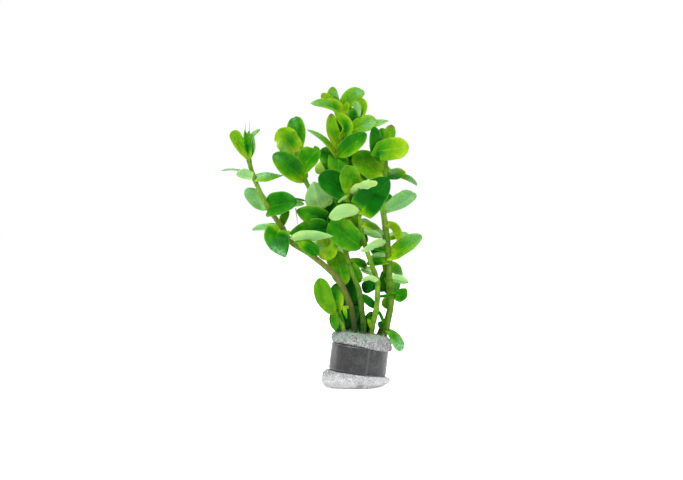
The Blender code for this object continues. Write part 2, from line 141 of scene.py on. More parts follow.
LEAVES["upper_left"] = [
    leaf(74, (-12.8, -6.6, 62.2), 10.6, (0, -0.9, 0.3), (0.08, 0.05, 0.55), 0.62, halves=-0.08, base=0.6,
         frosts=[(-0.7, 0.5, 0.5, 0.35)]),
    leaf(65.5, (-4.6, -5, 50), 10.2, FRONT, (0.02, 0, 0.5), 0.38, base=0.7, foot=0.1, via=[(-6.4, -3.4, 58)]),
    leaf(77.5, (-31.2, -8.5, 75.2), 10.8, (0, -1, 0.2), (0.06, 0.1, 0.36), 0.32, base=0.6, point=0.9, foot=0,
         start=(-12.8, -4.4, 77.6), spots=[(0, 0.2, 0.55, -0.4)]),
    leaf(83.4, (-27.6, -8.5, 86.6), 9.8, (0, -1, 0), (0.06, 0.08, 0.42), 0.29, base=0.6, point=0.6, foot=0,
         start=(-13.2, -3.2, 82.2), spots=[(0, 0.12, 0.5, -0.4)]),
    leaf(87.6, (-19.2, -9, 100.6), 13.6, (0, 1, 0.2), (0.04, 0, 0.26), 0.6, base=0.75, point=0.9, foot=0.5,
         foot_reach=0.3, frosts=[(0, 0.7, 0.9, 0.35)]),
    leaf(101.6, (-38.8, -12.5, 113.6), 11.2, (0.1, -1, 0.2), (0.06, 0.12, 0.54), 0.28, halves=0.1, base=0.25,
         taper=0.2, fold=0.4, spots=[(-0.3, 0.4, 0.4, -0.22)], frosts=[(0, 1, 0.35, 0.5)]),
    leaf(106.4, (-16.5, -6, 116.9), 11, (-0.2, -0.9, 0.4), (0.04, 0.1, 0.52), 0.29, base=0.6, foot=0.1,
         fold=0.3, bites=[(1, 0.86, 0.5, 0.07)]),
    leaf(114.2, (-36.2, -8, 125.9), 12, (0.1, -1, 0.1), (0.04, 0.12, 0.6), 0.58, ripple=0.05, base=0.6,
         bites=[(1, 0.72, 0.22, 0.06)], spots=[(-0.2, 0.5, 0.6, -0.3), (0.7, 0.75, 0.5, 0.15)],
         frosts=[(0.9, 0.35, 0.5, 0.5)]),
    leaf(114, (-29.2, 2.5, 131.8), 9.4, (-0.3, -0.9, 0.3), (0.06, 0.2, 0.62), 0.29, fold=0.4, base=0.3,
         taper=0.3, bend=-0.1, spots=[(0.15, 0.45, 0.3, -0.25)], frosts=[(0, 1, 0.4, 0.4)]),
]
LEAVES["top"] = [
    leaf(112.6, (-22.6, -3, 125.8), 4.4, (0.5, -0.7, 0.5), (0.14, 0.1, 0.42), 0.48, bloom=0.5, brown=0.3,
         point=0.6, base=0.7),
    leaf(111.2, (6.6, -10, 123.6), 9.2, (-0.1, -1, 0.2), (0.05, 0.18, 0.5), 0.24, halves=-0.16, base=0.2,
         taper=0.3, foot=0.15, fold=0.3, start=(-7, -1.4, 113), spots=[(-0.95, 0.5, 0.3, 0.2)]),
    leaf(116.6, (-10.6, -6, 133.6), 6.4, (0.1, -1, 0.2), (0.04, 0.2, 0.5), 0.5, brown=0.9, brown_side=1,
         base=0.7, fold=0.15, via=[(-10.2, -5, 125.6)]),
    leaf(124.8, (11.4, -5, 130), 9.2, (-0.2, -0.9, 0.4), (0.05, 0.1, 0.66), 0.48, base=0.3, taper=0.3,
         foot=0.05, fold=0.25, frosts=[(-0.2, 0.85, 0.55, 0.75)]),
    leaf(130.4, (-20.6, -7, 138.4), 7.8, (0.1, -0.8, 0.6), (0.02, 0.12, 0.26), 0.48, point=0.4, base=0.75,
         start=(-4.4, -1.2, 133.4), via=[(-10.6, -4.6, 137.2)], spots=[(0, 0.35, 0.4, -0.25)],
         frosts=[(0, 0.95, 0.6, 0.7)]),
    leaf(131.6, (-10, -0.8, 146.8), 5.6, (0.2, -1, 0.2), (0.04, 0.1, 0.62), 0.48, brown=0.6, base=0.7,
         start=(-6.4, 1.6, 134.8), via=[(-10, 0.4, 141.2)], frosts=[(-0.4, 0.7, 0.6, 0.4)]),
    leaf(131.2, (5.2, 6, 145), 8.6, (-0.3, -0.9, 0.3), (0.04, 0.15, 0.56), 0.45, base=0.45, foot=0.12,
         fold=0.35, start=(-4.4, 1.6, 134), via=[(-1.2, 4, 140.4)], spots=[(-0.1, 0.45, 0.4, -0.2)],
         frosts=[(0.1, 1, 0.55, 0.9)]),
]
LEAVES["centre"] = [
    leaf(94.6, (11.2, -19.6, 100.4), 6.6, (-0.2, 0.8, 0.5), (0.02, 0, 0.5), 0.98, ripple=0.05, base=0.6,
         via=[(1.6, -8.5, 96), (5.8, -13.8, 98)], frosts=[(0, 0.6, 1, 0.3)]),
    leaf(94.4, (-16.8, -11, 103), 13.4, (0.1, -0.9, 0.3), (0.05, 0.08, 0.52), 0.02, halves=0.06, base=0.6,
         foot=0.6, foot_reach=0.28),
    leaf(99.6, (-3.4, -16, 108.2), 10.6, (0, -0.9, 0.4), (0.06, 0.1, 0.52), 0.36, base=0.7,
         start=(-0.8, -6.4, 97.2), fold=0.2, spots=[(-0.9, 0.6, 0.3, 0.12)]),
]
LEAVES["middle_right"] = [
    leaf(70.3, (-11.6, -9.2, 80.8), 13.2, (-0.1, -0.9, 0.1), (0.05, 0.05, 0.58), 0.24, base=0.45, foot=0.05,
         fold=0.2, start=(2.4, -7.4, 69.8), spots=[(-0.6, 0.7, 0.4, 0.12)]),
    leaf(85.2, (-11.8, -17.5, 83.4), 9.4, (0, 0.85, 0.5), (0.02, 0.05, 0.55), 0.84, point=0.6, bend=0.06,
         base=0.1, taper=0.15, frosts=[(0.3, 0.6, 0.9, 0.5)]),
    leaf(87, (17.2, -11, 102), 15, (-0.25, -1, 0.1), (0.05, 0.08, 0.28), -0.08, base=0.45, taper=-0.32,
         point=0.2, fold=0.36, foot=0.55, foot_reach=0.22, start=(4.4, -7.6, 86.4)),
]
LEAVES["right"] = [
    leaf(28.6, (23.2, -5, 18), 6.6, (0.35, -0.85, 0.4), (0.12, 0.05, 0.68), 0.34, bloom=0.9, base=0.3,
         taper=0.4, foot=0.05),
    leaf(45.2, (26.2, -9, 44.8), 7.8, (-0.2, -0.9, 0.4), (0.04, 0.1, 0.78), 0.24, base=0.16, taper=1.2),
    leaf(64, (33.3, -8, 74.2), 9.8, (-0.3, -0.8, 0.5), (0.05, 0.12, 0.5), 0.38, bloom=0.3, base=0.4,
         taper=-0.1, bend=-0.05, halves=-0.08),
    leaf(71, (3.8, -16.5, 67.2), 6.4, (0, 0.85, 0.5), (0.06, 0, 0.45), 0.95, point=0.4, bend=-0.05, base=0.3,
         taper=0.3, frosts=[(0, 0.5, 1.2, 0.6)]),
    leaf(86, (29.4, -6, 95), 9.4, (-0.2, 0.8, 0.5), (0.05, 0.1, 0.66), 0.1, foot=0.15, base=0.3, point=-0.1,
         bend=0.06, brown=0.3, frosts=[(0, 0.7, 1, 0.5)]),
    leaf(102.6, (0.4, -2, 114.4), 13, (0.1, -0.9, 0.4), (0.05, 0.08, 0.52), 0.42, base=0.6, foot=0.25,
         bend=0.04, spots=[(-0.6, 0.75, 0.5, -0.12)]),
    leaf(103.4, (31.2, 4, 98.8), 3.6, (0.3, -0.8, 0.5), (0.22, 0.05, 0.6), 0.45, bloom=0.9, brown=0.4),
    leaf(111, (27, -7.2, 117.6), 11, FRONT, (0.02, 0.05, 0.52), 0.72, base=0.7, taper=0, foot=-0.42,
         foot_reach=0.95, fold=0.1, start=(11.8, -7.6, 115.2)),
    leaf(108.8, (10, -7.6, 127.2), 7.2, (0.2, -1, 0.2), (0.02, 0.15, 0.56), 0.12, base=0.3, foot=0.45,
         foot_reach=0.38, bend=0.02, via=[(12.4, -2.8, 113.4), (11, -5.6, 121)]),
]
LEAVES["low_left"] = [
    leaf(36.6, (-16.4, -15.5, 54), 8.8, (0.1, -1, 0.1), (0.05, 0.05, 0.6), 0.4, base=0.35, taper=0.2,
         foot=0.05, fold=0.3, via=[(-14.2, -12.2, 44.6)], start=(-9.6, -9.2, 37.2)),
    leaf(37.2, (-7.6, -4.6, 51.2), 7.6, (-0.1, -1, 0.1), (0.03, 0, 0.55), 0.26, halves=-0.5, base=0.6,
         foot=0),
]
LEAVES["back_right"] = [
    leaf(73, (29, 22, 71), 8.5, (-0.4, 0.2, 0.9), CUPPED, 0.35),
    leaf(86, (14, 31, 94), 10.5, (0, -0.5, 0.9), CUPPED, 0.3),
]
LEAVES["back_left"] = [
    leaf(63, (-20, 24, 70), 9.5, (0.4, 0, 0.9), CUPPED, 0.3),
    leaf(77, (-9, 34, 86), 10.5, (0, -0.5, 0.9), CUPPED, 0.4),
]

# The small leaves that the CAD model leaves out or stands in for with a bud
YOUNG = {}

YOUNG["left"] = [
    leaf(111, (-58.6, -9, 125), 6.6, (0.3, -0.9, 0.3), (-0.02, 0.1, 0.74), 0.54, base=0.3, taper=0.5,
         point=-0.3, fold=0.35),
    leaf(111.6, (-52.6, -7.5, 125.6), 3.8, (0.2, -1, 0.1), (0.02, 0, 0.45), 0.28, fold=0.3, point=0.9,
         foot=0.4, spots=[(0.2, 0.35, 0.4, -0.45)]),
    leaf(111.2, (-45.2, -3.5, 126), 3.6, (-0.6, -0.8, 0.2), (0, 0.1, 0.4), 0.4, brown=0.1,
         via=[(-48.4, -4.8, 117), (-48.8, -4.4, 122.6)], frosts=[(0, 0.6, 1.2, 0.9)]),
    leaf(111.4, (-50.6, -4.5, 125.2), 3, (-0.3, -0.9, 0.2), (0.02, 0.2, 0.5), 0.45, foot=0.4),
    leaf(87.6, (-23.8, 1, 89.6), 5.4, (0, 0.8, 0.6), (0.05, 0.05, 0.6), 0.6, point=0.5),
    leaf(88.6, (-23.2, 0, 91.2), 2.8, (0, -0.7, 0.7), (0.1, 0.05, 0.6), 0.4, brown=0.9, point=0.5),
    leaf(78.5, (-31.7, -2.5, 86.3), 5.8, (-0.6, -0.8, 0), (0.05, 0.05, 0.5), 0.36, fold=0.3, base=0.6),
    leaf(71, (-16.8, -10.4, 65), 7.4, (0.1, -0.8, 0.6), (0.05, 0.05, 0.55), 0.18, start=(-25.5, -9.8, 70.6)),
    leaf(40, (-3, -12.4, 34), 2, FRONT, (0, 0.05, 0.3), 0.45, point=1, base=0.8, start=(-4.4, -11, 39.6)),
]
YOUNG["upper_left"] = [
    closed(115, (-26.8, -2.5, 122), 3.6, 0.5, faces=(0.1, -1, 0.1)),
    leaf(87.4, (-10.5, 7.5, 98), 9, (-0.2, -0.5, 0.9), (0.08, 0.1, 0.55), 0.3),
    leaf(77, (-16, 9, 86), 9, (0, -0.5, 0.9), (0.08, 0.1, 0.55), 0.35),
    filler(38.5, (-6, -2.5, 28.4), 8, 0.03, up=0),
    leaf(69, (-2.6, -4, 64.8), 4, (0, 0.7, 0.7), FLAT, 0.85),
]
YOUNG["top"] = [
    leaf(132.4, (-15.4, -1, 143.4), 5.4, (-0.3, -0.9, 0.3), (0.04, 0.1, 0.6), 0.55, brown=0.3,
         start=(-5.5, 0.5, 134.2)),
    closed(132.8, (-2.8, -1.5, 139.5), 3, 0.5, start=(-3.6, -0.6, 134)),
    leaf(124.6, (17.6, 6, 130.5), 5, (0, -0.8, 0.6), (0.03, 0.1, 0.6), 0.6, bloom=0.8, brown=0.3, point=0.9),
    leaf(119.2, (-9.2, -7, 133.9), 6.2, (0.35, -0.9, 0.2), (0.02, 0.6, 0.52), 0.52, base=0.4, point=0.9,
         foot=0, start=(-5.6, -4, 121.8), via=[(-3.8, -6.4, 127.4)],
         spots=[(-0.1, 0.42, 0.5, -0.45), (-1, 0.6, 0.25, 0.25), (1, 0.4, 0.25, 0.25)]),
    filler(106.5, (-14.2, 5, 117.4), 8.6, 0.24, up=0.2, form=(0.05, 0.05, 0.55), base=0.6),
    leaf(106, (-17.8, 2.5, 104.6), 5.6, (0, -1, 0.3), (0.05, 0.05, 0.5), 0.98, foot=-0.5, foot_reach=0.12,
         base=0.7, start=(-13, 2.4, 109.8), frosts=[(0, 0.6, 0.8, 0.3)]),
    filler(108, (-13.2, 3, 100.6), 6.4, 0.42, up=0.2, form=(0.05, 0.05, 0.5)),
    filler(38, (5.4, 1, 27.4), 6.4, 0),
    leaf(113.4, (-7.4, -3, 103.6), 10.2, (0, -1, 0.3), (0.06, 0.05, 0.45), 0.36, base=0.75, foot=-0.12,
         foot_reach=0.6, fold=0.12),
    filler(110.6, (1.4, 4, 113), 7.8, 0, form=(0.03, 0.05, 0.55), start=(-6.5, 3, 107.6)),
    filler(119.4, (-9.6, 1.5, 131.6), 6, 0.12, up=0.2),
    filler(106, (3.2, 4, 107.4), 5.5, 0.05, form=(0.03, 0.05, 0.55)),
    filler(84, (-13.6, -0.5, 91.5), 8.4, 0.08, up=0.2, form=(0.05, 0.05, 0.55)),
    filler(55.5, (-0.4, -0.5, 41), 9, 0),
    filler(46, (3.6, 2.5, 33.5), 7, -0.02),
    filler(33, (3, 2, 44.6), 6, 0.03),
    filler(31, (4.2, -2.4, 27), 4.2, 0),
    filler(40.5, (-3, -1, 28.6), 9, 0, up=0),
    leaf(117, (-2, 11, 124), 8, (0.1, -0.5, 0.9), (0.08, 0.1, 0.55), 0.3),
    leaf(124.5, (-8.5, 10, 131.5), 7, (0.1, -0.5, 0.9), (0.08, 0.1, 0.55), 0.4),
    leaf(99, (-12, 11, 106.5), 9, (0, -0.5, 0.9), (0.08, 0.1, 0.55), 0.25),
]
YOUNG["side_shoot"] = [
    leaf(131.6, (2.8, -0.5, 141.3), 6.4, (-0.1, -1, 0.2), (0.05, 0.2, 0.5), 0.5, brown=0.6, base=0.6,
         via=[(4, -0.8, 136.8)]),
    leaf(131.6, (0.6, -4.6, 139.2), 4, (0.4, 0.9, 0.2), (0.1, 0.1, 0.66), 0.35, base=0.3, taper=0.4, foot=0,
         start=(3, -2.9, 132.6)),
    leaf(128, (0, -2, 136.6), 4.8, FRONT, (0.05, 0.1, 0.5), 0.3, foot=-0.38, foot_reach=0.85),
    filler(127.2, (3.4, -0.5, 133.6), 5.8, 0.02, form=(0.05, 0.1, 0.5), spots=[(0.5, 0.5, 0.3, 0.22)]),
]
YOUNG["centre"] = [
    closed(100.4, (0.6, -4.5, 106), 3.4, 0.6),
    leaf(95.4, (5, 5, 101), 8, (-0.2, -0.5, 0.9), (0.08, 0.1, 0.55), 0.25),
    leaf(93.4, (-7.4, -12.2, 90.4), 2.8, (0, 0.8, 0.5), (0.02, 0.05, 0.4), 0.9, point=0.4),
    leaf(84, (2.5, -1, 80.5), 6, (0, -0.9, 0.4), (0.05, 0.05, 0.5), 0.45),
    leaf(94, (1.6, -3, 86), 5.6, (0, -1, 0.2), FLAT, 0.48, base=0.7, foot=0.1),
    filler(96.5, (5.2, -1.5, 106), 8.4, 0.48, up=0.2),
    filler(88, (-7.2, -1.5, 93.4), 7, 0.24, up=0.2),
    filler(88.5, (3.6, -2, 94.6), 5.6, 0.46, up=0.2),
    filler(83, (1, -2, 77), 8, 0.36, up=0.2),
    filler(79, (-10, -2, 83.5), 7, 0.38, up=0.2),
    leaf(61, (3.6, -4, 51.6), 5.6, FRONT, (0.04, 0.05, 0.5), 0.32, foot=0.1),
    leaf(61.4, (6.8, 1, 59.4), 5.2, (0.1, -0.9, 0.4), (0.05, 0.1, 0.55), 0.25),
    filler(45.3, (11.2, -3, 39), 4.2, 0.08, up=0.2, form=(0.03, 0.1, 0.5), point=0.5),
    filler(32, (9.6, -2, 37), 3.6, 0.05, up=0.2, form=(0.03, 0.1, 0.5)),
]
YOUNG["middle_right"] = [
    closed(91.4, (6, -4, 97), 3.4, 0.5),
    leaf(79.6, (12.8, -2.5, 77.6), 4.6, (0, -0.8, 0.6), (-0.02, 0.1, 0.45), 0.42, point=0.7, brown=0.5),
    leaf(77, (14.4, -1.5, 73.1), 4.2, (0.1, 0.9, 0.4), (0, 0.1, 0.5), 0.55, point=0.5),
    filler(72, (1.8, -3.5, 71.6), 3, 0.15),
    leaf(38.4, (15, -4, 31.4), 1.8, (0.2, -0.9, 0.3), (0.04, 0.05, 0.5), 0.06, foot=0),
    filler(78, (6.5, 0.5, 70.6), 3.2, 0.02, up=0.2, form=(0.05, 0.1, 0.5)),
    leaf(51.8, (4, -9.6, 52.6), 4.4, (0, 0.6, 0.8), (0, 0.05, 0.5), 0.8, via=[(8.4, -8.8, 53.6)],
         frosts=[(0, 0.5, 1, 0.4)]),
    filler(51.4, (4.6, 1.5, 48), 6.6, -0.05, up=0.2, form=(0.04, 0.05, 0.5), base=0.6),
    leaf(56.5, (3.8, 1, 57.6), 4.4, (0, 0.9, 0.3), (0.05, 0.1, 0.5), 0.65),
    leaf(29.5, (7, -7, 34), 2.2, (0.2, -0.8, 0.3), (0.1, 0.1, 0.5), 0.5, brown=0.9),
    filler(36.5, (7, -1, 30.5), 4.6, 0.06),
    filler(33.5, (6.2, -1.5, 26.9), 5, 0),
    leaf(44.6, (20.8, -4.4, 45.4), 1.8, (0, -0.9, 0.4), (0.02, 0.05, 0.6), 0.12, foot=0),
]
YOUNG["right"] = [
    leaf(112.2, (14.2, 4, 126.8), 6, (0, -1, 0.2), (0.04, 0.15, 0.62), 0.38, base=0.6, foot=0.1),
    leaf(112.4, (18.8, 2, 128.4), 6, (-0.2, -1, 0.2), (0.04, 0.15, 0.66), 0.42, brown=0.9, base=0.6),
    closed(112.8, (16.3, -1, 121), 3.6, 0.6),
    leaf(103.8, (25.6, -4, 104.7), 6.8, (0, -0.9, 0.5), (0.05, -0.2, 0.45), 0.48, halves=0.7, point=0.4,
         foot=0, frosts=[(0.7, 0.3, 0.7, 1.2)]),
    filler(94.6, (18.6, -1, 91.2), 3.4, 0.12, form=(0.02, 0.05, 0.5)),
    filler(45.5, (14.8, 3.5, 57), 5.2, 0.1, up=0.2),
    filler(56, (14, 2, 50.6), 4.6, 0.12, up=0.2),
    filler(29.4, (12.2, -0.8, 32), 3.8, 0.04, up=0.2, form=(0.03, 0.05, 0.45), point=0.5),
    leaf(103.4, (8.4, -2, 103.8), 5.4, (0, -0.8, 0.5), (0.05, 0.1, 0.5), 0.6, brown=0.3),
    leaf(80.3, (22.8, -3, 69.8), 4.8, (0.3, -0.9, 0.3), (0, 0.1, 0.42), 0.62, brown=0.4, point=0.8,
         via=[(20.8, -2, 77.2)]),
    leaf(72.6, (21.8, -2.5, 73.6), 2.6, (0, -0.9, 0.4), (0.02, 0.1, 0.5), 0.55),
    leaf(66.5, (7.6, -3, 69.4), 4.4, (0, -0.7, 0.7), (0.05, 0.1, 0.5), 0.18),
    leaf(64, (8.8, -1, 63.8), 4.4, (0, 0.7, 0.6), (0.05, 0.1, 0.5), 0.45),
    leaf(61.5, (6.6, -4, 60.4), 4.8, (0.1, -0.8, 0.6), (0.05, 0.1, 0.5), 0.22),
    leaf(61, (24.2, 3, 54.2), 5, FRONT, (0.02, 0.05, 0.4), 0.3, bloom=0.6, point=0.8),
    leaf(53.4, (27.2, -4, 51.6), 5.2, (0, 0.85, 0.5), (0.02, 0.1, 0.45), 0.6, point=0.9, base=0.6,
         frosts=[(0, 0.5, 1, 0.5)]),
    leaf(44.5, (16.6, 3.5, 38.3), 6.2, (0, -1, 0.2), (0.04, 0.05, 0.5), 0.5),
    leaf(50, (22.4, 6, 47.4), 8, (0, -1, 0.3), (0.04, 0.05, 0.5), 0.26),
    filler(49.4, (13, 5, 48.6), 5.6, 0.05, up=0.3, form=(0.04, 0.05, 0.5)),
    leaf(49, (14.3, 2.5, 65), 2.2, (0, -1, 0), (0.03, 0.05, 0.4), 0.6, base=0.7),
]
YOUNG["low_left"] = [
    leaf(37, (-8.4, -8.4, 28.6), 3.6, (-0.2, -1, 0), (0.04, 0.05, 0.45), 0.3, base=0.7, foot=0.05),
    leaf(37.5, (-6, -4, 27.4), 7, (-0.1, -1, 0), (0.04, 0.05, 0.45), 0.14, base=0.7, foot=0.05),
]
YOUNG["back_right"] = [
    leaf(66, (8.6, 6.5, 66.6), 5.6, (0, -1, 0.3), (0.05, 0.05, 0.5), 0.12),
    leaf(61, (24, 20, 65), 8, (-0.3, 0.3, 0.9), (0.1, 0.1, 0.55), 0.35),
    leaf(60, (12, 23, 66), 8, (0.2, 0.3, 0.9), (0.1, 0.1, 0.55), 0.4),
    leaf(47, (18, 22, 52), 7, (0, 0.3, 0.9), (0.12, 0.1, 0.55), 0.45),
    leaf(73.5, (3, 20, 81), 9, (0.4, 0.2, 0.9), CUPPED, 0.3),
    leaf(86.5, (5, 6, 94), 8, (0.4, 0.4, 0.9), CUPPED, 0.25),
    leaf(97, (22, 23, 106), 8, (-0.4, -0.3, 0.9), CUPPED, 0.45),
    leaf(97.5, (3, 18, 106), 8, (0.4, -0.3, 0.9), CUPPED, 0.4),
    leaf(99.2, (9, 22, 113), 6.5, (0.2, -0.8, 0.5), (0.04, 0.12, 0.6), 0.55),
    leaf(99.4, (15, 11, 114), 6, (-0.2, 0.8, 0.5), (0.04, 0.12, 0.6), 0.5),
    closed(99.8, (11.5, 16.5, 117), 4, 0.6, faces=(0.9, -0.4, 0.1)),
    closed(99.8, (13, 16, 112), 3.6, 0.65, faces=(-0.9, 0.4, 0.1)),
]
YOUNG["back_left"] = [
    leaf(50, (-8, 20, 58), 8, (0.2, 0.2, 0.9), (0.1, 0.1, 0.55), 0.35),
    leaf(50, (3, 19, 57), 7, (-0.3, 0.2, 0.9), (0.1, 0.1, 0.55), 0.3),
    leaf(36.5, (-2, 19, 41), 6, (0, 0.3, 0.9), (0.12, 0.1, 0.55), 0.45),
    leaf(63.5, (6, 22, 70), 8.5, (-0.4, 0, 0.9), CUPPED, 0.4),
    leaf(77.5, (-15, 8, 86), 8, (0.2, 0.5, 0.9), CUPPED, 0.35),
    leaf(88.5, (-19, 24, 98), 8.5, (0.5, -0.2, 0.9), CUPPED, 0.45),
    leaf(88.5, (0, 24, 97), 8.5, (-0.5, -0.2, 0.9), CUPPED, 0.4),
    leaf(92.2, (-15, 25, 106), 6.5, (0.4, -0.7, 0.5), (0.04, 0.12, 0.6), 0.55),
    leaf(92.4, (-7, 15, 107), 6, (-0.4, 0.7, 0.5), (0.04, 0.12, 0.6), 0.5),
    closed(92.8, (-12, 20.5, 111.5), 4, 0.6, faces=(0.7, 0.7, 0.1)),
    closed(92.8, (-10, 20.5, 107), 3.6, 0.65, faces=(-0.7, -0.7, 0.1)),
]

# Stems whose young leaves stand in for a bud of the CAD model
BUDS = ("left", "right", "back_right", "back_left")

# Dried hairs on the left stem's leaves, as points from root to tip
HAIRS = [
    [(-52.2, -6.3, 122), (-52.4, -6.4, 125.5), (-52, -6.4, 129)],
    [(-50.8, -5.4, 119), (-50.4, -5.2, 124), (-50.3, -5, 129.6)],
    [(-27.8, -9.6, 87.6), (-27.4, -9.2, 84), (-26.7, -9, 79.3)],
]

# Along each stem from its foot to its tip: (share of the way, tone 0 dark to 1 pale, brown).
# The low tones near the foot are partly the stem's own colour and partly painted shade deep among the stems
STEM_LOOKS = {
    "left": [(0, -0.15, 0.3), (0.22, -0.05, 0.45), (0.36, 0.36, 0.8), (0.55, 0.46, 0.8), (0.7, 0.48, 0.3),
        (1, 0.5, 0)],
    "upper_left": [(0, 0, 0), (0.3, 0.12, 0.1), (0.6, 0.46, 0.1), (0.75, 0.58, 0), (1, 0.52, 0)],
    "top": [(0, 0, 0), (0.35, 0.1, 0), (0.6, 0.36, 0), (1, 0.52, 0)],
    "centre": [(0, -0.06, 0), (0.3, 0.1, 0), (0.45, 0.3, 0), (0.7, 0.42, 0), (1, 0.52, 0)],
    "middle_right": [(0, 0.3, 0), (0.3, 0.44, 0), (0.5, 0.54, 0), (1, 0.52, 0)],
    "right": [(0, 0.34, 0), (0.3, 0.4, 0), (0.6, 0.46, 0), (0.75, 0.62, 0), (1, 0.46, 0)],
    "low_left": [(0, 0.45, 0), (1, 0.55, 0)],
    "back_right": [(0, 0.1, 0), (0.5, 0.3, 0), (1, 0.48, 0)],
    "back_left": [(0, 0.1, 0), (0.5, 0.3, 0), (1, 0.48, 0)],
    "side_shoot": [(0, 0.2, 0), (1, 0.36, 0)],
}

# The turned foam as (radius, height), closed from the middle of its top to the middle of its foot
FOAM_PROFILE = [
    (0, 26.6), (11, 26.6), (13.4, 25.8), (14.5, 24.2), (14.5, 22.4), (13.8, 20.9), (12.7, 20.7),
    (12.7, 7.3), (15.2, 7), (16.5, 5.3), (16, 2.6), (13.8, 0.8), (10.8, 0), (0, 0),
]
FOAM_ROWS, FOAM_SIDES = 150, 260
# Lumps, crumbs and pores of the foam's skin: (depth, fineness, shift of the noise)
FOAM_ROUGHNESS = ((0.35, 0.35, 0), (0.28, 0.9, 7), (0.26, 2.4, -3), (0.16, 5.2, 0))
FIBRES, FIBRE_JOINTS, FIBRE_TONE = 3200, 3, 0.16
# The foam's top swells out over the strip on one side
BULGE_DEG, BULGE_HEIGHT, BULGE_REACH, BULGE_DROP = 35, 21.6, 2.4, 1.7
LEAN_DEG, LEAN_BY, AXIS_SLOPE, AXIS_STEP = 7.5, 7.2, 0.13, 1.0
STRIP_WIDTH, STRIP_THICKNESS, STRIP_RADIUS, STRIP_MIDDLE = 12.7, 0.9, 13.6, 14.0
STRIP_LAP_DEG, STRIP_END_DEG, STRIP_RISE_DEG, STRIP_ROUNDING = 50.0, 288.0, 34.0, 0.22
STRIP_STEPS, STRIP_ROWS = 260, 26
# The strip covers the foam between these heights
STRIP_FOOT, STRIP_TOP = 7.0, 20.7
# Between the strip's end and its start below it
GAP = 0.35
# Radius of each stem at its foot and at its tip; the others have the plain one
STEM_RADII = {"left": (1.7, 1.0), "centre": (1.6, 1.0), "right": (1.9, 1.2), "side_shoot": (0.8, 0.8)}
PLAIN_RADII = (1.5, 1.0)
STEM_STEPS, STEM_SIDES, STEM_OVAL = 120, 16, 0.03
# A stem swells at each joint, with a darker ring just below: amount, reach and the most of it
SWELL, SWELL_REACH, MOST_SWELL = 0.16, 1.1, 0.22
RING, RING_REACH, RING_BELOW, MOST_RING = 0.12, 0.6, 0.9, 0.16
HAIR_STEPS, HAIR_SIDES, HAIR_RADIUS = 12, 6, 0.26


# Small maths


def ease(t):
    t = min(max(t, 0.0), 1.0)
    return t * t * (3 - 2 * t)


def spline_through(points, steps=SPLINE_STEPS):
    """A smooth line through the points (Catmull-Rom), with this many steps from each to the next."""
    knots = [Vector(p) for p in points]
    ends = [2 * knots[0] - knots[1]] + knots + [2 * knots[-1] - knots[-2]]
    line = []
    for a, b, c, d in zip(ends, ends[1:], ends[2:], ends[3:]):
        for i in range(steps):
            t = i / steps
            bend = (2 * a - 5 * b + 4 * c - d) * t * t + (3 * b - a - 3 * c + d) * t**3
            line.append(0.5 * (2 * b + (c - a) * t + bend))
    return line + [knots[-1]]


def resample(line, shares):
    """Points at these shares of the way along a line of points."""
    pts = np.array([tuple(p) for p in line])
    gone = np.concatenate([[0.0], np.cumsum(np.linalg.norm(np.diff(pts, axis=0), axis=1))])
    at = np.asarray(shares) * gone[-1]
    return np.stack([np.interp(at, gone, pts[:, k]) for k in range(3)], 1)


def unit(v):
    return v / (np.linalg.norm(v, axis=-1, keepdims=True) + 1e-12)


def uneven(x, y, z):
    """A smooth pseudo-random number, about -1 to 1."""
    return noise.noise(Vector((x, y, z)))


def stem_line(stem):
    return resample(spline_through(STEMS[stem]), np.linspace(0, 1, STEM_STEPS + 1))


def stem_radius(share, stem):
    foot, tip = STEM_RADII.get(stem, PLAIN_RADII)
    return foot + (tip - foot) * share


def stem_joint(stem, height):
    """The stem's middle, direction and radius at this height, or at its tip if it ends lower."""
    line = stem_line(stem)
    above = np.nonzero(line[:, 2] >= height)[0]
    if len(above) == 0:
        return line[-1], unit(line[-1] - line[-2]), stem_radius(1.0, stem)
    i = max(int(above[0]), 1)
    t = (height - line[i - 1, 2]) / (line[i, 2] - line[i - 1, 2])
    share = (i - 1 + t) / (len(line) - 1)
    return line[i - 1] + (line[i] - line[i - 1]) * t, unit(line[i] - line[i - 1]), stem_radius(share, stem)


# Meshes from arrays


class Shape:
    """Collects vertices in mm, their faces, marks and tints, then makes one mesh of them.

    A mark says where on the piece a vertex is, and a tint is its tone, brown and painted pale sheen.
    """

    def __init__(self):
        self.verts, self.faces, self.marks, self.tints = [], [], [], []

    def add(self, verts, faces, marks, tints):
        start = sum(len(v) for v in self.verts)
        self.faces += [tuple(int(i) + start for i in f) for f in faces]
        for rows, given in ((self.verts, verts), (self.marks, marks), (self.tints, tints)):
            rows.append(np.broadcast_to(np.asarray(given, dtype=float), (len(verts), 3)))

    def build(self, name, material, replaces=()):
        data = bpy.data.meshes.new(name)
        data.from_pydata((np.vstack(self.verts) * MM).tolist(), [], self.faces)
        for label, rows in (("mark", np.vstack(self.marks)), ("tint", np.vstack(self.tints))):
            layer = data.attributes.new(label, "FLOAT_VECTOR", "POINT")
            layer.data.foreach_set("vector", rows.astype(np.float32).ravel())
        data.shade_smooth()
        data.materials.append(material)
        data.update()
        made = bpy.data.objects.new(name, data)
        bpy.context.scene.collection.objects.link(made)
        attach(made, "root")
        if replaces:
            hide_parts(*replaces)
        return made


def ring_faces(rings, sides, start=0):
    """Faces round a tube of rings of vertices, the first of which has the number start."""
    faces = []
    for here in range(start, start + (rings - 1) * sides, sides):
        for k in range(sides):
            n = (k + 1) % sides
            faces.append((here + k, here + n, here + sides + n, here + sides + k))
    return faces


# How a blade meets its stem: where its foot starts, and how far it clasps, in stem radii, and a stalk's width
FOOT_DEPTH, CLASP, STALK_WIDTH = 0.75, 1.1, 1.4
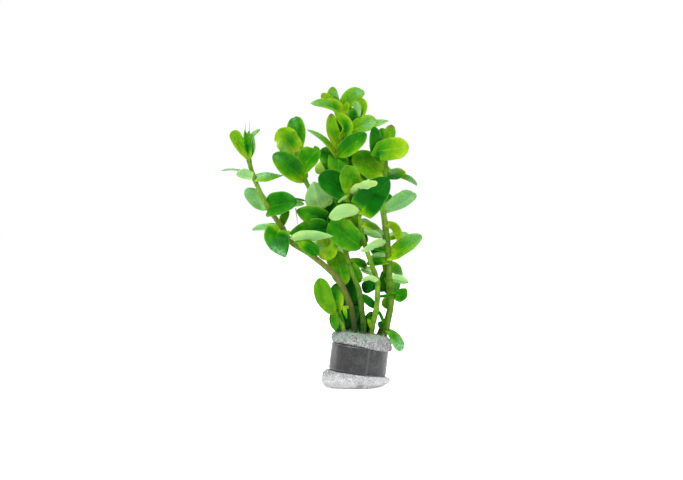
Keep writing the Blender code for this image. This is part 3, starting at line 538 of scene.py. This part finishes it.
# Where a stalk's four points lie on its own line, and as shares before the blade
STALK_PLACES, STALK_SHARES = [0.0, 0.3, 0.6, 0.85], [-1.0, -0.7, -0.4, -0.15]
# Rows of points crowd towards the tip, and columns towards the margins
ROW_CROWDING, COLUMN_CROWDING = 1.3, 1.15
# How uneven a leaf's margin, lie and tone are, and how much its margin is painted lighter and its middle
# darker, as painted light and shade
MARGIN_WAVER, BLADE_WAVER, TONE_WAVER, PAINTED_RIM_LIGHT = 0.03, 0.045, 0.1, 0.16
# The midrib: its width as a share, its groove above and its keel below in mm
RIB_WIDTH, RIB_GROOVE, RIB_KEEL = 0.11, 0.16, 0.28
# The mark of each side of a blade
UPPER, RIM, LOWER = 1.0, 0.5, 0.0


def outline(row, s):
    """Half width of a leaf, 0 to 1, at this share of its length."""
    if s < row.belly:
        t = (row.belly - s) / row.belly
        return row.base + (1 - row.base) * max(0.0, 1 - t * t) ** (0.55 + row.taper)
    t = (s - row.belly) / (1 - row.belly)
    return max(0.0, 1 - t ** (2.3 - 0.6 * row.point)) ** (0.5 + 0.4 * row.point)


def patches(rows, v, s):
    """What soft round patches add up to here on a leaf."""
    total = 0.0
    for left, on, size, amount in rows:
        total += amount * math.exp(-((v - left) ** 2 + 4 * (s - on) ** 2) / size ** 2)
    return total


def midrib(row, stem, steps):
    """Points along a leaf's midrib, their shares of its length, and how it leaves the stem.

    Shares below 0 are the stalk of a leaf that has a start of its own.
    """
    centre, direction, radius = stem_joint(stem, row.height)
    tip = np.array(row.tip, dtype=float)
    via = [np.array(p, dtype=float) for p in row.via]
    outward = (via[0] if via else tip) - centre
    outward = unit(outward - direction * outward.dot(direction))
    foot = centre + outward * radius * FOOT_DEPTH
    begin = np.array(row.start, dtype=float) if row.start else foot
    shares = np.sin(np.linspace(0, math.pi / 2, steps + 1)) ** ROW_CROWDING
    path = resample(spline_through([begin, *via, tip]), shares)
    reach = tip - begin
    length = np.linalg.norm(reach)
    side = unit(np.cross(row.faces, reach))
    up = unit(np.cross(reach, side))
    path = path + np.outer(row.arch * length * 4 * shares * (1 - shares), up)
    path = path + np.outer(row.bend * length * 4 * shares * (1 - shares), side)
    if row.start:
        stalk = resample(spline_through([foot, begin, path[3]], 8)[:9], STALK_PLACES)
        path, shares = np.vstack([stalk, path]), np.concatenate([STALK_SHARES, shares])
    return path, shares, length, outward, radius


def leaf_tint(row, v, s, half, ghost):
    """Tone, with its painted light and shade, brown and painted pale sheen at this place on a leaf."""
    # Painted light and shade across the fold: one half lighter, the other darker.
    level = row.tone + row.halves * v * half
    level += row.foot * (1 - ease(s / row.foot_reach))
    # A random waver, then a painted lighter margin and a painted darker middle.
    level += TONE_WAVER * uneven(s * 2.5 + ghost, v * 1.5, 4.0) + PAINTED_RIM_LIGHT * (v * v - 0.4) * half
    level += patches(row.spots, v, s)
    burnt = row.brown * (0.1 if v * row.brown_side < 0 else 1.0)
    # Painted pale sheen, a painted reflection, towards the tip and in patches.
    sheen_amount = row.bloom * ease((s - 0.35) / 0.6) + patches(row.frosts, v, s)
    return level, burnt, min(sheen_amount, 1.0)


def leaf_blade(shape, stem, row, seed, rows=26, columns=16, thickness=0.6):
    """A fleshy blade: upper and lower side meet in a rounded margin, with a grooved midrib."""
    dice = random.Random(seed)
    phase, waves, ghost = dice.uniform(0, math.tau), dice.uniform(1.6, 2.6), dice.uniform(0, 50)
    path, shares, length, outward, radius = midrib(row, stem, rows)
    across = np.linspace(-1, 1, columns + 1)
    across = np.sign(across) * (1 - (1 - np.abs(across)) ** COLUMN_CROWDING)
    top, bottom, tints = [], [], []
    for place, middle, ahead in zip(shares, path, unit(np.gradient(path, axis=0))):
        s = max(place, 0.0)
        side = unit(np.cross(row.faces, ahead))
        up = unit(np.cross(ahead, side))
        half = outline(row, s)
        if place < 0:
            thin = STALK_WIDTH / row.width
            half = thin + (half - thin) * (1 + place) ** 3
        clasps = not row.start or place < -0.9
        upper_row, lower_row, tint_row = [], [], []
        for v in across:
            hand = 1 if v > 0 else -1
            w = half * (1 + MARGIN_WAVER * uneven(s * 5, hand * 3.0, ghost))
            for bite_side, at, depth, span in row.bites:
                if hand == bite_side:
                    w *= 1 - depth * math.exp(-(((s - at) / span) ** 2))
            x = v * w * row.width / 2
            # Cup and fold, then waves along the margin, then a slightly uneven lie
            lift = row.cup * row.width / 2 * v * v * half ** 0.7 + row.fold * abs(x) * (1 - 0.5 * s)
            wave = math.sin(math.tau * waves * s + phase + hand)
            lift += row.ripple * row.width * wave * abs(v) ** 3 * half
            lift += BLADE_WAVER * min(row.width, length) * uneven(s * 3, v * 1.6, ghost)
            rib = math.exp(-((v / RIB_WIDTH) ** 2)) * (1 - s) ** 0.6
            body = thickness * (1 - abs(v) ** 5) ** 0.6 * min(1.0, (half / 0.35)) ** 0.5
            clasp = -radius * CLASP * v * v * (1 - s) ** 8 if clasps else 0.0
            spot = middle + side * x + up * lift + outward * clasp
            upper_row.append(spot + up * (body * 0.5 - RIB_GROOVE * rib))
            lower_row.append(spot - up * (body * 0.5 + RIB_KEEL * rib * (1 - abs(v))))
            tint_row.append(leaf_tint(row, v, s, half, ghost))
        top.append(upper_row)
        bottom.append(lower_row)
        tints.append(tint_row)
    stitch_blade(shape, top, bottom, tints, across, shares)


def stitch_blade(shape, top, bottom, tints, across, shares):
    """Joins the upper and the lower side of a blade at its margins, its tip and its foot."""
    rows, columns = len(shares) - 1, len(across) - 1
    verts, faces, marks, tint_rows = [], [], [], []
    upper = np.zeros((rows + 1, columns + 1), int)
    lower = np.zeros((rows + 1, columns + 1), int)

    def point(spot, i, j, side):
        verts.append(spot)
        marks.append((across[j], max(shares[i], 0.0), side))
        tint_rows.append(tints[i][j])
        return len(verts) - 1

    def face(loop, flip=False):
        loop = list(dict.fromkeys(loop))
        if len(loop) >= 3:
            faces.append(loop[::-1] if flip else loop)

    for i in range(rows + 1):
        for j in range(columns + 1):
            if i == rows and j > 0:
                upper[i, j] = lower[i, j] = upper[i, 0]
            elif i == rows or j in (0, columns):
                upper[i, j] = lower[i, j] = point((top[i][j] + bottom[i][j]) / 2, i, j, RIM)
            else:
                upper[i, j] = point(top[i][j], i, j, UPPER)
                lower[i, j] = point(bottom[i][j], i, j, LOWER)
    for i in range(rows):
        for j in range(columns):
            for ids, flip in ((upper, True), (lower, False)):
                face([ids[i, j], ids[i, j + 1], ids[i + 1, j + 1], ids[i + 1, j]], flip)
    for j in range(columns):
        face([upper[0, j], upper[0, j + 1], lower[0, j + 1], lower[0, j]])
    shape.add(verts, faces, marks, tint_rows)


def tube(shape, line, radii, sides, looks, seed, oval=0.0):
    """A closed tube with its own radius and (tone, brown) at each point."""
    along = unit(np.gradient(line, axis=0))
    side = unit(np.cross(along[0], np.array([0.3, 1.0, 0.1])))
    verts, marks, tints = [], [], []
    ghost = random.Random(seed).uniform(0, 50)
    last = len(line) - 1
    for i, (spot, ahead, r) in enumerate(zip(line, along, radii)):
        side = unit(side - ahead * side.dot(ahead))
        other = np.cross(ahead, side)
        for k in range(sides):
            a = math.tau * k / sides
            knobbly = uneven(math.cos(a) * 1.2, math.sin(a) * 1.2, i * 0.12 + ghost)
            rough = 1 + oval * math.cos(2 * a) + 0.05 * knobbly
            verts.append(spot + (side * math.cos(a) + other * math.sin(a)) * r * rough)
            marks.append((k / sides, i / last, 0.0))
            tints.append((*looks[i], 0.0))
    faces = ring_faces(last + 1, sides)
    for end, way in ((0, -1), (last, 1)):
        tip = len(verts)
        verts.append(line[end] + way * along[end] * radii[end] * 0.4)
        marks.append((0.5, end / last, 1.0))
        tints.append((*looks[end], 0.0))
        for k in range(sides):
            loop = (end * sides + k, end * sides + (k + 1) % sides, tip)
            faces.append(loop if way > 0 else loop[::-1])
    shape.add(verts, faces, marks, tints)


# Materials


class Tree:
    """Short hands for building a material's nodes."""

    def __init__(self, name):
        self.material = bpy.data.materials.new(name)
        self.material.use_nodes = True
        self.nodes = self.material.node_tree.nodes
        self.links = self.material.node_tree.links

    def node(self, kind, inputs=None, **settings):
        """A node with these settings, and these links or values on its sockets."""
        made = self.nodes.new("ShaderNode" + kind)
        for key, value in settings.items():
            setattr(made, key, value)
        self.feed(made, inputs or {})
        return made.outputs

    def feed(self, node, inputs):
        for name, value in inputs.items():
            if isinstance(value, bpy.types.NodeSocket):
                self.links.new(value, node.inputs[name])
            elif value is not None:
                node.inputs[name].default_value = value

    def finish(self, looks):
        """Sets the shader's own sockets."""
        self.feed(self.nodes["Principled BSDF"], looks)
        return self.material

    def math(self, operation, a, b=None, c=None):
        return self.node("Math", {0: a, 1: b, 2: c}, operation=operation)[0]

    def times(self, a, b):
        return self.math("MULTIPLY", a, b)

    def times_plus(self, value, factor, more):
        return self.math("MULTIPLY_ADD", value, factor, more)

    def less(self, a, b):
        return self.math("SUBTRACT", a, b)

    def vary(self, level, texture, amount):
        """Adds a texture to the level, so that it swings by half the amount to either side."""
        return self.math("ADD", level, self.times_plus(texture, amount, -amount / 2))

    def mix(self, amount, a, b):
        """Goes from a to b by the amount; b may be a plain colour."""
        b = (*b, 1.0) if isinstance(b, tuple) else b
        return self.node("Mix", {"Factor": amount, 6: a, 7: b}, data_type="RGBA")[2]

    def ramp(self, amount, stops):
        """Colours, or shares of white, at their places along the amount."""
        made = self.nodes.new("ShaderNodeValToRGB")
        elements = made.color_ramp.elements
        while len(elements) < len(stops):
            elements.new(0.5)
        for element, (place, colour) in zip(elements, stops):
            element.position = place
            element.color = (*colour, 1.0) if isinstance(colour, tuple) else (colour, colour, colour, 1.0)
        self.feed(made, {0: amount})
        return made.outputs[0]

    def split(self, vector):
        return tuple(self.node("SeparateXYZ", {0: vector}))

    def attribute(self, name):
        return self.split(self.node("Attribute", attribute_name=name)["Vector"])

    def place(self):
        return self.node("TexCoord")["Object"]

    def noise(self, vector, scale, detail=2.0, rough=0.5, stretch=None):
        if stretch:
            vector = self.node("Mapping", {0: vector, "Scale": stretch})[0]
        looks = {"Vector": vector, "Scale": scale, "Detail": detail, "Roughness": rough}
        return self.node("TexNoise", looks)[0]

    def cells(self, vector, scale):
        return self.node("TexVoronoi", {"Vector": vector, "Scale": scale})["Distance"]

    def bump(self, height, strength, distance, after=None):
        looks = {"Strength": strength, "Distance": distance, "Height": height, "Normal": after}
        return self.node("Bump", looks)[0]

    def between(self, value, low, high):
        """Rises smoothly from 0 at low to 1 at high."""
        return self.node("MapRange", {0: value, 1: low, 2: high}, interpolation_type="SMOOTHSTEP")[0]


def leaf_material():
    """Fleshy green blade: parallel veins from foot to tip, yellower foot, pale underside, a painted highlight
    along the margin and a painted pale sheen.
    """
    t = Tree("bacopa_leaf")
    place = t.place()
    across, along, side = t.attribute("mark")
    tone, brown, bloom = t.attribute("tint")
    patchy = t.noise(place, 260.0, 3.0, 0.55)
    fine = t.noise(place, 1300.0, 2.0, 0.6)
    off = t.math("ABSOLUTE", t.math("ADD", across, t.times_plus(patchy, 0.06, -0.03)))
    veins = t.ramp(off, [
        (0.0, 1.0), (0.035, 0.75), (0.075, 0.0), (0.27, 0.0), (0.31, 0.6), (0.35, 0.0), (0.57, 0.0),
        (0.61, 0.5), (0.65, 0.0), (0.8, 0.0), (0.83, 0.3), (0.86, 0.0),
    ])
    rib = t.ramp(off, [(0.0, 1.0), (0.05, 0.8), (0.12, 0.0)])
    level = t.times_plus(t.times(rib, t.less(1.0, along)), 0.13, tone)
    level = t.times_plus(veins, 0.05, level)
    level = t.vary(t.vary(level, patchy, 0.46), fine, 0.2)
    upper = t.ramp(level, [
        (0.0, (0.002, 0.1, 0.001)), (0.25, (0.022, 0.19, 0.001)), (0.5, (0.122, 0.315, 0.002)),
        (0.75, (0.27, 0.45, 0.006)), (1.0, (0.45, 0.61, 0.04)),
    ])
    lower = t.ramp(level, [
        (0.0, (0.1, 0.3, 0.06)), (0.5, (0.24, 0.48, 0.15)), (1.0, (0.44, 0.68, 0.2)),
    ])
    lower = t.mix(t.times(veins, 0.45), lower, (0.08, 0.28, 0.04))
    colour = t.mix(t.between(side, 0.3, 0.62), lower, upper)
    # Painted pale sheen: a painted reflection mixed into the colour.
    sheen_mask = t.times(bloom, t.between(fine, 0.25, 0.65))
    colour = t.mix(sheen_mask, colour, (0.24, 0.52, 0.26))
    # Painted highlight: the margin lighter, as where it catches the light.
    rim_highlight = t.between(off, 0.88, 1.0)
    colour = t.mix(t.times(rim_highlight, 0.4), colour, (0.2, 0.42, 0.08))
    edge = t.math("MAXIMUM", t.between(off, 0.82, 1.0), t.between(along, 0.8, 1.0))
    scorched = t.times(t.times(edge, brown), t.between(patchy, 0.3, 0.62))
    relief = t.times_plus(veins, -0.5, t.times(patchy, 0.8))
    return t.finish({
        "Base Color": t.mix(scorched, colour, (0.17, 0.11, 0.025)),
        "Roughness": t.times_plus(t.less(1.0, side), 0.16, t.times_plus(fine, 0.2, 0.36)),
        "Normal": t.bump(t.cells(place, 1500.0), 0.15, 0.0003, t.bump(relief, 0.5, 0.0005)),
        "Specular IOR Level": 0.07,
        "Subsurface Weight": 0.22,
        "Subsurface Radius": (0.35, 1.0, 0.05),
        "Subsurface Scale": 0.0012,
    })


def stem_material():
    """Smooth juicy stem: fine lengthwise streaks and specks, dark below, partly as painted shade low among
    the stems, yellow green above.
    """
    t = Tree("bacopa_stem")
    place = t.place()
    tone, brown, _ = t.attribute("tint")
    streaks = t.noise(place, 900.0, 3.0, 0.6, stretch=(1.0, 1.0, 0.1))
    patchy = t.noise(place, 170.0, 2.0, 0.5)
    dots = t.noise(place, 1700.0, 1.0, 0.5)
    level = t.vary(t.vary(t.vary(tone, streaks, 0.5), patchy, 0.3), dots, 0.3)
    green = t.ramp(level, [
        (0.0, (0.008, 0.045, 0.002)), (0.25, (0.045, 0.12, 0.004)), (0.5, (0.115, 0.25, 0.01)),
        (0.75, (0.24, 0.42, 0.04)), (1.0, (0.5, 0.68, 0.2)),
    ])
    tan = t.ramp(level, [(0.0, (0.04, 0.026, 0.01)), (0.5, (0.15, 0.1, 0.035)), (1.0, (0.42, 0.36, 0.16))])
    # The brown is strongest towards the right of the front
    around = t.math("ABSOLUTE", t.less(t.attribute("mark")[0], 0.44))
    shaded = t.less(1.0, t.between(around, 0.04, 0.24))
    return t.finish({
        "Base Color": t.mix(t.times(brown, t.times_plus(shaded, 0.7, 0.3)), green, tan),
        "Roughness": t.times_plus(streaks, 0.2, 0.34),
        "Normal": t.bump(t.math("ADD", streaks, dots), 0.35, 0.0003),
        "Specular IOR Level": 0.15,
        "Subsurface Weight": 0.15,
        "Subsurface Radius": (0.5, 1.0, 0.1),
        "Subsurface Scale": 0.001,
    })


def hair_material():
    """Dry olive grey thread."""
    t = Tree("dried_hair")
    shade = t.noise(t.place(), 900.0)
    return t.finish({
        "Base Color": t.ramp(shade, [(0.3, (0.1, 0.12, 0.06)), (0.7, (0.28, 0.3, 0.2))]),
        "Roughness": t.times_plus(shade, 0.2, 0.5),
    })


def foam_material():
    """Light grey fibrous foam: dark pores between pale fibres, green where the stems go in, one stain."""
    t = Tree("filter_foam")
    place = t.place()
    crumbs = t.noise(place, 1500.0, 3.0, 0.65)
    clumps = t.noise(place, 420.0, 3.0, 0.6)
    pores = t.cells(place, 1300.0)
    height = t.split(place)[2]
    paler = t.times_plus(t.between(height, 0.01, 0.003), 0.13, t.attribute("tint")[0])
    level = t.times_plus(clumps, 0.42, t.times_plus(crumbs, 0.9, -0.21))
    level = t.math("ADD", t.times_plus(pores, -0.25, level), paler)
    colour = t.ramp(level, [
        (0.08, (0.07, 0.07, 0.07)), (0.28, (0.22, 0.22, 0.225)), (0.45, (0.44, 0.44, 0.45)),
        (0.68, (0.84, 0.84, 0.85)),
    ])
    foot = t.between(height, 0.008, 0.003)
    colour = t.mix(t.times(foot, 0.42), colour, (0.66, 0.66, 0.67))
    damp = t.times(t.between(height, 0.0215, 0.0275), t.between(clumps, 0.32, 0.6))
    colour = t.mix(t.times(damp, 0.75), colour, (0.17, 0.32, 0.19))
    near = t.node("VectorMath", {0: place, 1: (0.0031, -0.0146, 0.0013)}, operation="DISTANCE")["Value"]
    stain = t.times(t.between(near, 0.003, 0.0008), t.between(crumbs, 0.3, 0.55))
    return t.finish({
        "Base Color": t.mix(t.times(stain, 0.75), colour, (0.13, 0.125, 0.085)),
        "Roughness": t.times_plus(crumbs, 0.1, 0.88),
        "Normal": t.bump(level, 0.8, 0.0006),
        "Sheen Weight": 0.2,
        "Sheen Roughness": 0.5,
    })


def lead_material():
    """Dull dark sheet: mottled oxide, rubbed lighter along its long edges, a painted highlight along its
    lapped end, fine rolling lines.
    """
    t = Tree("lead_sheet")
    place = t.place()
    blotch = t.noise(place, 230.0, 4.0, 0.6)
    grit = t.noise(place, 1500.0, 3.0, 0.7)
    rolled = t.noise(place, 500.0, 2.0, 0.5, stretch=(0.15, 0.15, 1.6))
    level = t.times_plus(grit, 0.55, t.times(blotch, 0.45))
    oxide = t.ramp(level, [
        (0.3, (0.012, 0.012, 0.013)), (0.5, (0.032, 0.032, 0.033)), (0.72, (0.1, 0.1, 0.105)),
    ])
    across, along, _ = t.attribute("mark")
    # Painted highlight: a light line along the strip's lapped end; the long edges are rubbed lighter.
    end = t.times(t.between(along, 0.986, 1.0), 0.45)
    wear_and_highlight = t.math("MAXIMUM", t.between(t.math("ABSOLUTE", across), 0.93, 1.0), end)
    return t.finish({
        "Base Color": t.mix(t.times(wear_and_highlight, 0.5), oxide, (0.22, 0.22, 0.23)),
        "Metallic": 0.35,
        "Sheen Weight": 0.9,
        "Sheen Roughness": 0.35,
        "Roughness": t.times_plus(blotch, 0.2, 0.3),
        "Normal": t.bump(rolled, 0.2, 0.0003, t.bump(grit, 0.35, 0.0003)),
    })


def floor_material():
    """Matt white studio floor, a little brighter where the camera sees it."""
    t = Tree("studio_floor")
    seen = t.node("LightPath")["Is Camera Ray"]
    return t.finish({
        "Base Color": t.ramp(t.noise(t.place(), 3.0), [(0.0, 0.9), (1.0, 0.93)]),
        "Roughness": 0.9,
        "Specular IOR Level": 0.1,
        "Emission Color": (1.0, 1.0, 1.0, 1.0),
        "Emission Strength": t.times_plus(seen, 0.7, 0.25),
    })


# The bunch


def add_leaves(finish):
    for stem, rows in LEAVES.items():
        for number, row in enumerate(rows, 1):
            shape = Shape()
            name = f"{stem}_{number:02d}"
            leaf_blade(shape, stem, row, "leaf " + name)
            shape.build("blade_" + name, finish, ["leaf_" + name])


def add_young(finish):
    for stem, rows in YOUNG.items():
        shape = Shape()
        for number, row in enumerate(rows, 1):
            leaf_blade(shape, stem, row, f"young {stem} {number}", rows=20, columns=12, thickness=0.5)
        shape.build("young_leaves_" + stem, finish, ["bud_" + stem] if stem in BUDS else ())


def add_stems(finish):
    """Each stem as one tube along its route, with its joints and its change of colour."""
    for stem in STEMS:
        line = stem_line(stem)
        joints = sorted({row.height for row in LEAVES.get(stem, []) + YOUNG[stem]})
        shares = np.linspace(0, 1, len(line))
        places, tones, browns = zip(*STEM_LOOKS[stem])
        tones, browns = np.interp(shares, places, tones), np.interp(shares, places, browns)
        radii, looks = [], []
        for share, spot, tone, brown in zip(shares, line, tones, browns):
            swell = ring = 0.0
            for joint in joints:
                gap = spot[2] - joint
                swell += SWELL * math.exp(-((gap / SWELL_REACH) ** 2))
                ring += RING * math.exp(-(((gap + RING_BELOW) / RING_REACH) ** 2))
            radii.append(stem_radius(share, stem) + min(swell, MOST_SWELL))
            looks.append((tone - min(ring, MOST_RING), brown))
        shape = Shape()
        tube(shape, line, radii, STEM_SIDES, looks, "stem " + stem, STEM_OVAL)
        shape.build("shoot_" + stem, finish, ["stem_" + stem] if stem in LEAVES else ())


def add_hairs(finish):
    shape = Shape()
    points = HAIR_STEPS + 1
    for number, route in enumerate(HAIRS):
        line = resample(spline_through(route, 8), np.linspace(0, 1, points))
        radii = [HAIR_RADIUS * (1 - 0.8 * i / HAIR_STEPS) for i in range(points)]
        tube(shape, line, radii, HAIR_SIDES, [(0.3, 0.5)] * points, f"hair left {number}")
    shape.build("dried_hairs", finish)


def plug_axis(height):
    """The middle of the leaning plug at this height, and its lean there."""
    middle = np.array([AXIS_SLOPE * height + AXIS_STEP * ease(height / LEAN_BY), 0.0, height])
    return middle, math.radians(LEAN_DEG) * ease(height / LEAN_BY)


def lean_over(point):
    """Moves a point of the upright turned plug to where the leaning plug has it."""
    middle, lean = plug_axis(point[2])
    x, y = point[0], point[1]
    return middle + np.array([x * math.cos(lean), y, -x * math.sin(lean)])


def any_way(dice):
    """A random direction."""
    return unit(np.array([dice.gauss(0, 1) for _ in range(3)]))


def add_fibres(shape):
    """Short curled fibres that stand out of the plug above and below the strip."""
    dice = random.Random("foam fibres")
    bare = [
        (a, b) for a, b in zip(FOAM_PROFILE, FOAM_PROFILE[1:])
        if not STRIP_FOOT < (a[1] + b[1]) / 2 < STRIP_TOP and a[1] > 0.5
    ]
    areas = [math.dist(a, b) * (a[0] + b[0]) for a, b in bare]
    verts, faces = [], []
    for _ in range(FIBRES):
        (r0, z0), (r1, z1) = dice.choices(bare, areas)[0]
        share, turn = dice.random() ** 0.7, dice.uniform(0, math.tau)
        if r0 < 1.0:
            share = dice.random() ** 0.5
        r, z = r0 + (r1 - r0) * share, z0 + (z1 - z0) * share
        ray = np.array([math.cos(turn), math.sin(turn), 0.0])
        outward = unit(ray * (z0 - z1) + np.array([0, 0, r1 - r0]))
        root = np.array([r * ray[0], r * ray[1], z])
        heading = unit(outward + 0.9 * any_way(dice))
        curl = any_way(dice) * dice.uniform(0.2, 0.7)
        length, thick = dice.uniform(0.6, 1.5), dice.uniform(0.05, 0.09)
        side = unit(np.cross(heading, curl + 0.01))
        other = np.cross(heading, side)
        start = len(verts)
        for i in range(FIBRE_JOINTS):
            t = i / (FIBRE_JOINTS - 1)
            spot = root + heading * (length * t - 0.3) + curl * length * t * t
            spot[2] = max(spot[2], 0.12)
            for k in range(3):
                a = math.tau * k / 3
                ring = (side * math.cos(a) + other * math.sin(a)) * thick * (1 - 0.6 * t)
                verts.append(lean_over(spot + ring))
        faces += ring_faces(FIBRE_JOINTS, 3, start)
        faces.append(range(len(verts) - 3, len(verts)))
    shape.add(verts, faces, (0, 0, 0), (FIBRE_TONE, 0, 0))


def foam_spot(i, r, z, a):
    """A point of the foam's skin, on row i of the turned profile and at angle a."""
    spot = np.array([r * math.cos(a), r * math.sin(a), z])
    if z > 26.0:
        outward = unit(np.array([math.cos(a) * 0.3, math.sin(a) * 0.3, 1.0]))
    elif 0 < i < FOAM_ROWS and r > 3:
        outward = np.array([math.cos(a), math.sin(a), 0.0])
    else:
        outward = np.array([0, 0, 1.0 if z > 13 else 0.0])
    # The flat foot stays flat, and the skin that the strip presses on is nearly smooth
    flat = 0.0 if z < 0.3 else min(1.0, z / 1.5)
    held = 0.25 if 7.2 < z < 20.8 and r < 12.8 else 1.0
    bulge = max(0.0, math.cos(a + math.radians(BULGE_DEG))) ** 2
    bulge *= max(0.0, 1 - abs(z - BULGE_HEIGHT) / BULGE_REACH)
    spot = spot * (1 + np.array([0.13, 0.13, 0.0]) * bulge) - np.array([0.0, 0.0, BULGE_DROP]) * bulge
    push = 0.0
    for depth, fineness, shift in FOAM_ROUGHNESS:
        push += depth * noise.noise(Vector(spot * fineness + shift))
    return lean_over(spot + outward * push * flat * held)


def add_foam(finish):
    """The soft plug: its profile turned finely, roughened at four scales, with its fibres."""
    profile = resample([Vector((r, 0, z)) for r, z in FOAM_PROFILE], np.linspace(0, 1, FOAM_ROWS + 1))
    verts, marks = [], []
    for i, (r, _, z) in enumerate(profile):
        for k in range(FOAM_SIDES):
            verts.append(foam_spot(i, r, z, math.tau * k / FOAM_SIDES))
            marks.append((k / FOAM_SIDES, i / FOAM_ROWS, 0.0))
    faces = [(a, d, c, b) for a, b, c, d in ring_faces(FOAM_ROWS + 1, FOAM_SIDES)]
    shape = Shape()
    shape.add(verts, faces, marks, (0, 0, 0))
    add_fibres(shape)
    made = shape.build("foam_plug", finish, ["foam_wrap"])


def strip_radius(turned):
    """The strip's radius after this much of its turn: it climbs over its own start."""
    rise = ease((turned - 360.0 + STRIP_RISE_DEG) / STRIP_RISE_DEG)
    return STRIP_RADIUS + (STRIP_THICKNESS + GAP) * rise


def strip_faces():
    """Faces of a ribbon of two sides, with its two edges and its two ends."""
    faces = []
    span = STRIP_ROWS + 1
    back = (STRIP_STEPS + 1) * span
    for i in range(STRIP_STEPS):
        for j in range(STRIP_ROWS):
            a, b = i * span + j, (i + 1) * span + j
            faces.append((a, b, b + 1, a + 1))
            faces.append((back + a, back + a + 1, back + b + 1, back + b))
        for j, flip in ((0, True), (STRIP_ROWS, False)):
            a, b = i * span + j, (i + 1) * span + j
            loop = (a, b, back + b, back + a)
            faces.append(loop[::-1] if flip else loop)
    for i, flip in ((0, False), (STRIP_STEPS, True)):
        for j in range(STRIP_ROWS):
            a = i * span + j
            loop = (a, a + 1, back + a + 1, back + a)
            faces.append(loop[::-1] if flip else loop)
    return faces


def add_strip(finish):
    """The lead: a flat ribbon wound once round the plug and lapped, with a few soft dents."""
    total = 360.0 + STRIP_LAP_DEG
    middle, lean = plug_axis(STRIP_MIDDLE)
    turn = np.array(Matrix.Rotation(lean, 3, "Y"))
    outer, inner, marks = [], [], []
    for i in range(STRIP_STEPS + 1):
        turned = total * i / STRIP_STEPS
        a = math.radians(STRIP_END_DEG - total + turned)
        ray = np.array([math.cos(a), math.sin(a), 0.0])
        for j in range(STRIP_ROWS + 1):
            h = -1 + 2 * j / STRIP_ROWS
            z = h * STRIP_WIDTH / 2
            # Soft dents, an uneven edge, and rounded corners
            dent = 0.16 * uneven(a * 2.2, z * 0.12, 1.5) + 0.07 * uneven(a * 7.0, z * 0.5, 9.0)
            trim = 0.14 * uneven(a * 3.0, 4.0 + h, 0.0) * (abs(h) ** 6)
            soft = STRIP_ROUNDING * max(0.0, (abs(h) - 0.955) / 0.045) ** 2
            spot = ray * (strip_radius(turned) + dent) + np.array([0, 0, z + trim])
            half = ray * (STRIP_THICKNESS / 2 - soft)
            outer.append(middle + turn @ (spot + half))
            inner.append(middle + turn @ (spot - half))
            marks.append((h, i / STRIP_STEPS))
    marks = [(*mark, side) for side in (1.0, 0.0) for mark in marks]
    shape = Shape()
    shape.add(outer + inner, strip_faces(), marks, (0, 0, 0))
    shape.build("lead_band", finish, ["lead_strip"])


# Studio

ROOM_LIGHT = 0.38
PIXEL_MM, WIDE_PX = 0.488, 683
DISTANCE_MM, SENSOR_MM = 1200.0, 36.0
ELEVATION = math.radians(1.0)
LOOK_AT = Vector((-5.65, 0.0, 72.1))
# In metres, with watts: name, place, size, power
LIGHTS = (
    ("key", (-0.45, -0.6, 0.95), 0.3, 13.0), ("back", (0.3, 0.75, 0.7), 0.6, 10.0),
    ("fill", (0.8, -0.8, 0.3), 0.8, 4.0),
)
LIGHTS_AIM = Vector((0.0, 0.0, 0.08))
FLOOR_M = 4


def put(name, data, place, aim):
    """An object at this place that looks along aim."""
    made = bpy.data.objects.new(name, data)
    made.location = place
    made.rotation_mode = "QUATERNION"
    made.rotation_quaternion = aim.to_track_quat("-Z", "Y")
    bpy.context.scene.collection.objects.link(made)
    return made


def add_camera():
    data = bpy.data.cameras.new("camera")
    data.sensor_width = SENSOR_MM
    data.sensor_fit = "HORIZONTAL"
    data.lens = SENSOR_MM * DISTANCE_MM / (WIDE_PX * PIXEL_MM)
    data.clip_start, data.clip_end = 0.05, 20.0
    back = Vector((0.0, -math.cos(ELEVATION), math.sin(ELEVATION)))
    bpy.context.scene.camera = put("camera", data, (LOOK_AT + back * DISTANCE_MM) * MM, -back)


def add_lights():
    for name, place, size, power in LIGHTS:
        data = bpy.data.lights.new(name, "AREA")
        data.shape = "DISK"
        data.size = size
        data.energy = power
        put(name, data, place, LIGHTS_AIM - Vector(place))


def add_floor():
    far = FLOOR_M
    data = bpy.data.meshes.new("floor")
    data.from_pydata([(-far, -far, 0), (far, -far, 0), (far, far, 0), (-far, far, 0)], [], [(0, 1, 2, 3)])
    data.materials.append(floor_material())
    floor = bpy.data.objects.new("floor", data)
    bpy.context.scene.collection.objects.link(floor)


def add_room():
    """Plain white all round: full white to the camera, softer as light."""
    world = bpy.data.worlds.new("studio")
    world.use_nodes = True
    nodes, links = world.node_tree.nodes, world.node_tree.links
    ray = nodes.new("ShaderNodeLightPath")
    strength = nodes.new("ShaderNodeMapRange")
    strength.inputs["To Min"].default_value = ROOM_LIGHT
    strength.inputs["To Max"].default_value = 1.0
    links.new(ray.outputs["Is Camera Ray"], strength.inputs["Value"])
    background = nodes["Background"]
    background.inputs["Color"].default_value = (1.0, 1.0, 1.0, 1.0)
    links.new(strength.outputs["Result"], background.inputs["Strength"])
    bpy.context.scene.world = world
    bpy.context.scene.view_settings.view_transform = "Standard"


def main():
    leaf_finish = leaf_material()
    add_leaves(leaf_finish)
    add_young(leaf_finish)
    add_stems(stem_material())
    add_hairs(hair_material())
    add_foam(foam_material())
    add_strip(lead_material())
    add_camera()
    add_floor()
    add_room()
    add_lights()


main()
bpy.context.view_layer.update()
